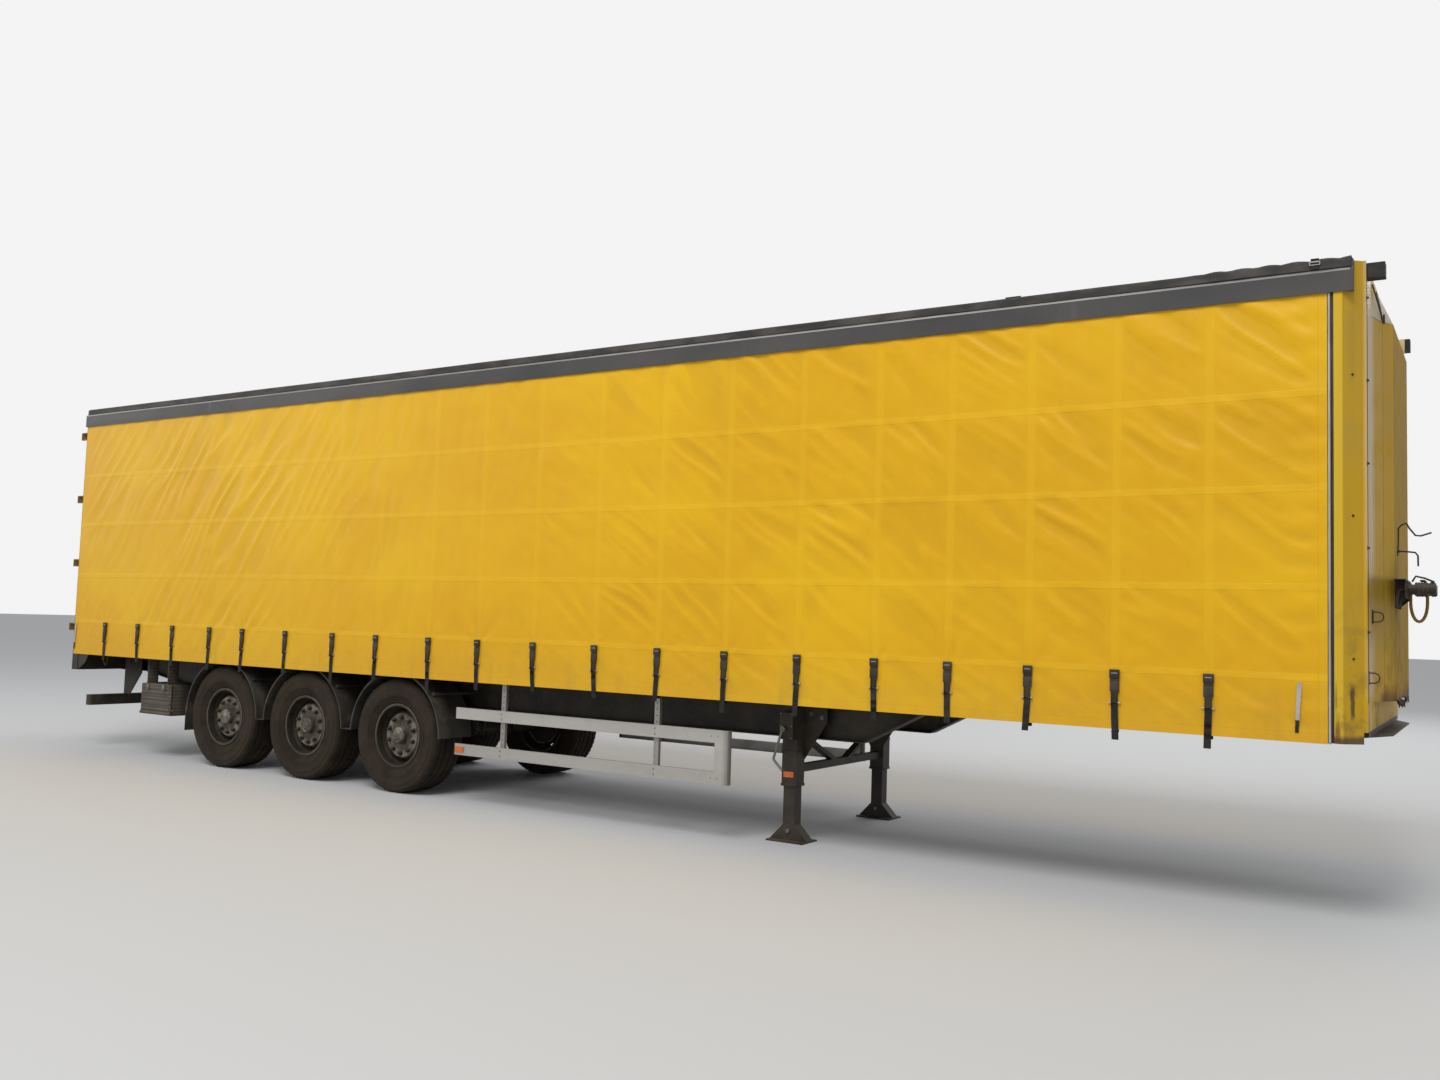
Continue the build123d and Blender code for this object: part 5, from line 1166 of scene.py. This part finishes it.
# air lines along the frame, hoses from the brake chambers, clamp rings and bag plates
lines = {"level": 1.142, "across": (0.415, 0.442), "rear": -4.9, "front": 5.2, "radius": 0.0075, "steps": 40,
         "clips": 12, "clipRear": -4.6, "clipPitch": 0.86, "hose": 0.0095, "chamber": (0.09, 0.15),
         "chamberY": 0.4, "clamps": ((0.082, 0.098, 0.086, 28), (0.208, 0.216, 0.03, 16)),
         "bag": (-0.38, 0.65), "bagPlates": ((0.7912, 0.7988, 0.116, 28), (0.601, 0.609, 0.104, 28)),
         "hoses": (((0.045, 0, 0.078), (0.05, 0, 0.125), (0.085, 0.02, 0.215), (0.12, 0.032, 0.32),
                    (0.11, 0.035, 0.45)),
                   ((0.15, 0, 0.062), (0.158, 0, 0.11), (0.16, 0.006, 0.22), (0.15, 0.012, 0.45)))}


def makeAirLines():
    pipes, rings = Piece("air_lines", "rubber"), Piece("clamp_rings", "steel")
    level, rear, steps = lines["level"], lines["rear"], lines["steps"]
    for across in lines["across"]:
        path = [(rear + i / steps * (lines["front"] - rear), across + 0.004 * sin(i * 1.7),
                 level - 0.006 * abs(sin(i * 0.9))) for i in range(steps + 1)]
        pipes.tube(path, lines["radius"], 6)
    for i in range(lines["clips"]):
        x = lines["clipRear"] + i * lines["clipPitch"]
        rings.box((0.018, 0.055, 0.012), (x, 0.4285, level + 0.006), 0.003, 1)
    (ahead, up), (bagX, bagY) = lines["chamber"], lines["bag"]
    for centre in axleCentres:
        chamber = Vector((centre.x + ahead, lines["chamberY"], centre.z + up))
        rings.stack(chamber, "x", *lines["clamps"])
        for path in lines["hoses"]:
            pipes.tube([chamber + Vector(step) for step in path], lines["hose"], 8)
        rings.stack((centre.x + bagX, bagY, 0), "z", *lines["bagPlates"])
    finishAll(pipes, rings)


for side in sides:
    makeDoorTrim(side)
makeLamps()
makeTongues()
makeSideTrim()
makeLegTrim()
makeAirLines()
print("doors, sides and chassis fitted")


# camera, floor and light
photo = {"eye": (7.398, -9.327, 1.7), "yaw": 32.91, "pitch": 3.86, "roll": 1.79,
         "focalPixels": 1218.9, "widthPixels": 1440}


def makeCamera():
    yaw, pitch, roll = (radians(photo[k]) for k in ("yaw", "pitch", "roll"))
    forward = Vector((-sin(yaw) * cos(pitch), cos(yaw) * cos(pitch), sin(pitch)))
    across = Vector((cos(yaw), sin(yaw), 0))
    up = across.cross(forward)
    right = cos(roll) * across + sin(roll) * up
    top = cos(roll) * up - sin(roll) * across
    data = bpy.data.cameras.new("camera")
    data.sensor_width = 36.0
    data.lens = photo["focalPixels"] * data.sensor_width / photo["widthPixels"]
    data.clip_start, data.clip_end = 0.1, 500
    camera = bpy.data.objects.new("camera", data)
    bpy.context.collection.objects.link(camera)
    turn = Matrix((right, top, -forward)).transposed().to_4x4()
    camera.matrix_world = Matrix.Translation(photo["eye"]) @ turn
    bpy.context.scene.camera = camera


def makeFloor():
    mesh = bmesh.new()
    bmesh.ops.create_grid(mesh, x_segments=1, y_segments=1, size=150)
    data = bpy.data.meshes.new("floor")
    mesh.to_mesh(data)
    mesh.free()
    floor = bpy.data.objects.new("floor", data)
    bpy.context.collection.objects.link(floor)
    data.materials.append(Finish("pale floor", (0.62, 0.62, 0.61), 0.9).material)


studio = {"sky": ((0.88, 0.91, 0.96), 0.52), "backdrop": ((0.97, 0.97, 0.97), 0.93), "aim": (0, 0, 1.5),
          "lamps": {"key": ((4.5, -15, 20), 2950, 10), "fill": ((-18, -10, 9), 480, 12),
                    "back": ((4, 18, 14), 1100, 12)}}


# the sky lights the trailer, and camera and mirror rays see a paler backdrop
def makeLight():
    world = bpy.data.worlds.new("studio")
    bpy.context.scene.world = world
    world.use_nodes = True
    tree = world.node_tree
    sky, backdrop = tree.nodes["Background"], tree.nodes.new("ShaderNodeBackground")
    for shade, (colour, strength) in ((sky, studio["sky"]), (backdrop, studio["backdrop"])):
        shade.inputs["Color"].default_value = (*colour, 1)
        shade.inputs["Strength"].default_value = strength
    rays, seen, choose = (tree.nodes.new(f"ShaderNode{kind}") for kind in ("LightPath", "Math", "MixShader"))
    seen.operation = "MAXIMUM"
    for start, end in ((rays.outputs["Is Camera Ray"], seen.inputs[0]),
                       (rays.outputs["Is Glossy Ray"], seen.inputs[1]),
                       (seen.outputs[0], choose.inputs[0]), (sky.outputs[0], choose.inputs[1]),
                       (backdrop.outputs[0], choose.inputs[2]),
                       (choose.outputs[0], tree.nodes["World Output"].inputs["Surface"])):
        tree.links.new(start, end)
    for name, (place, power, size) in studio["lamps"].items():
        data = bpy.data.lights.new(name, "AREA")
        data.energy, data.size = power, size
        lamp = bpy.data.objects.new(name, data)
        bpy.context.collection.objects.link(lamp)
        lamp.location = place
        lamp.rotation_euler = (Vector(studio["aim"]) - Vector(place)).to_track_quat("-Z", "Y").to_euler()
    bpy.context.scene.view_settings.view_transform = "Standard"


makeCamera()
makeFloor()
makeLight()
print("camera, floor and lights placed")
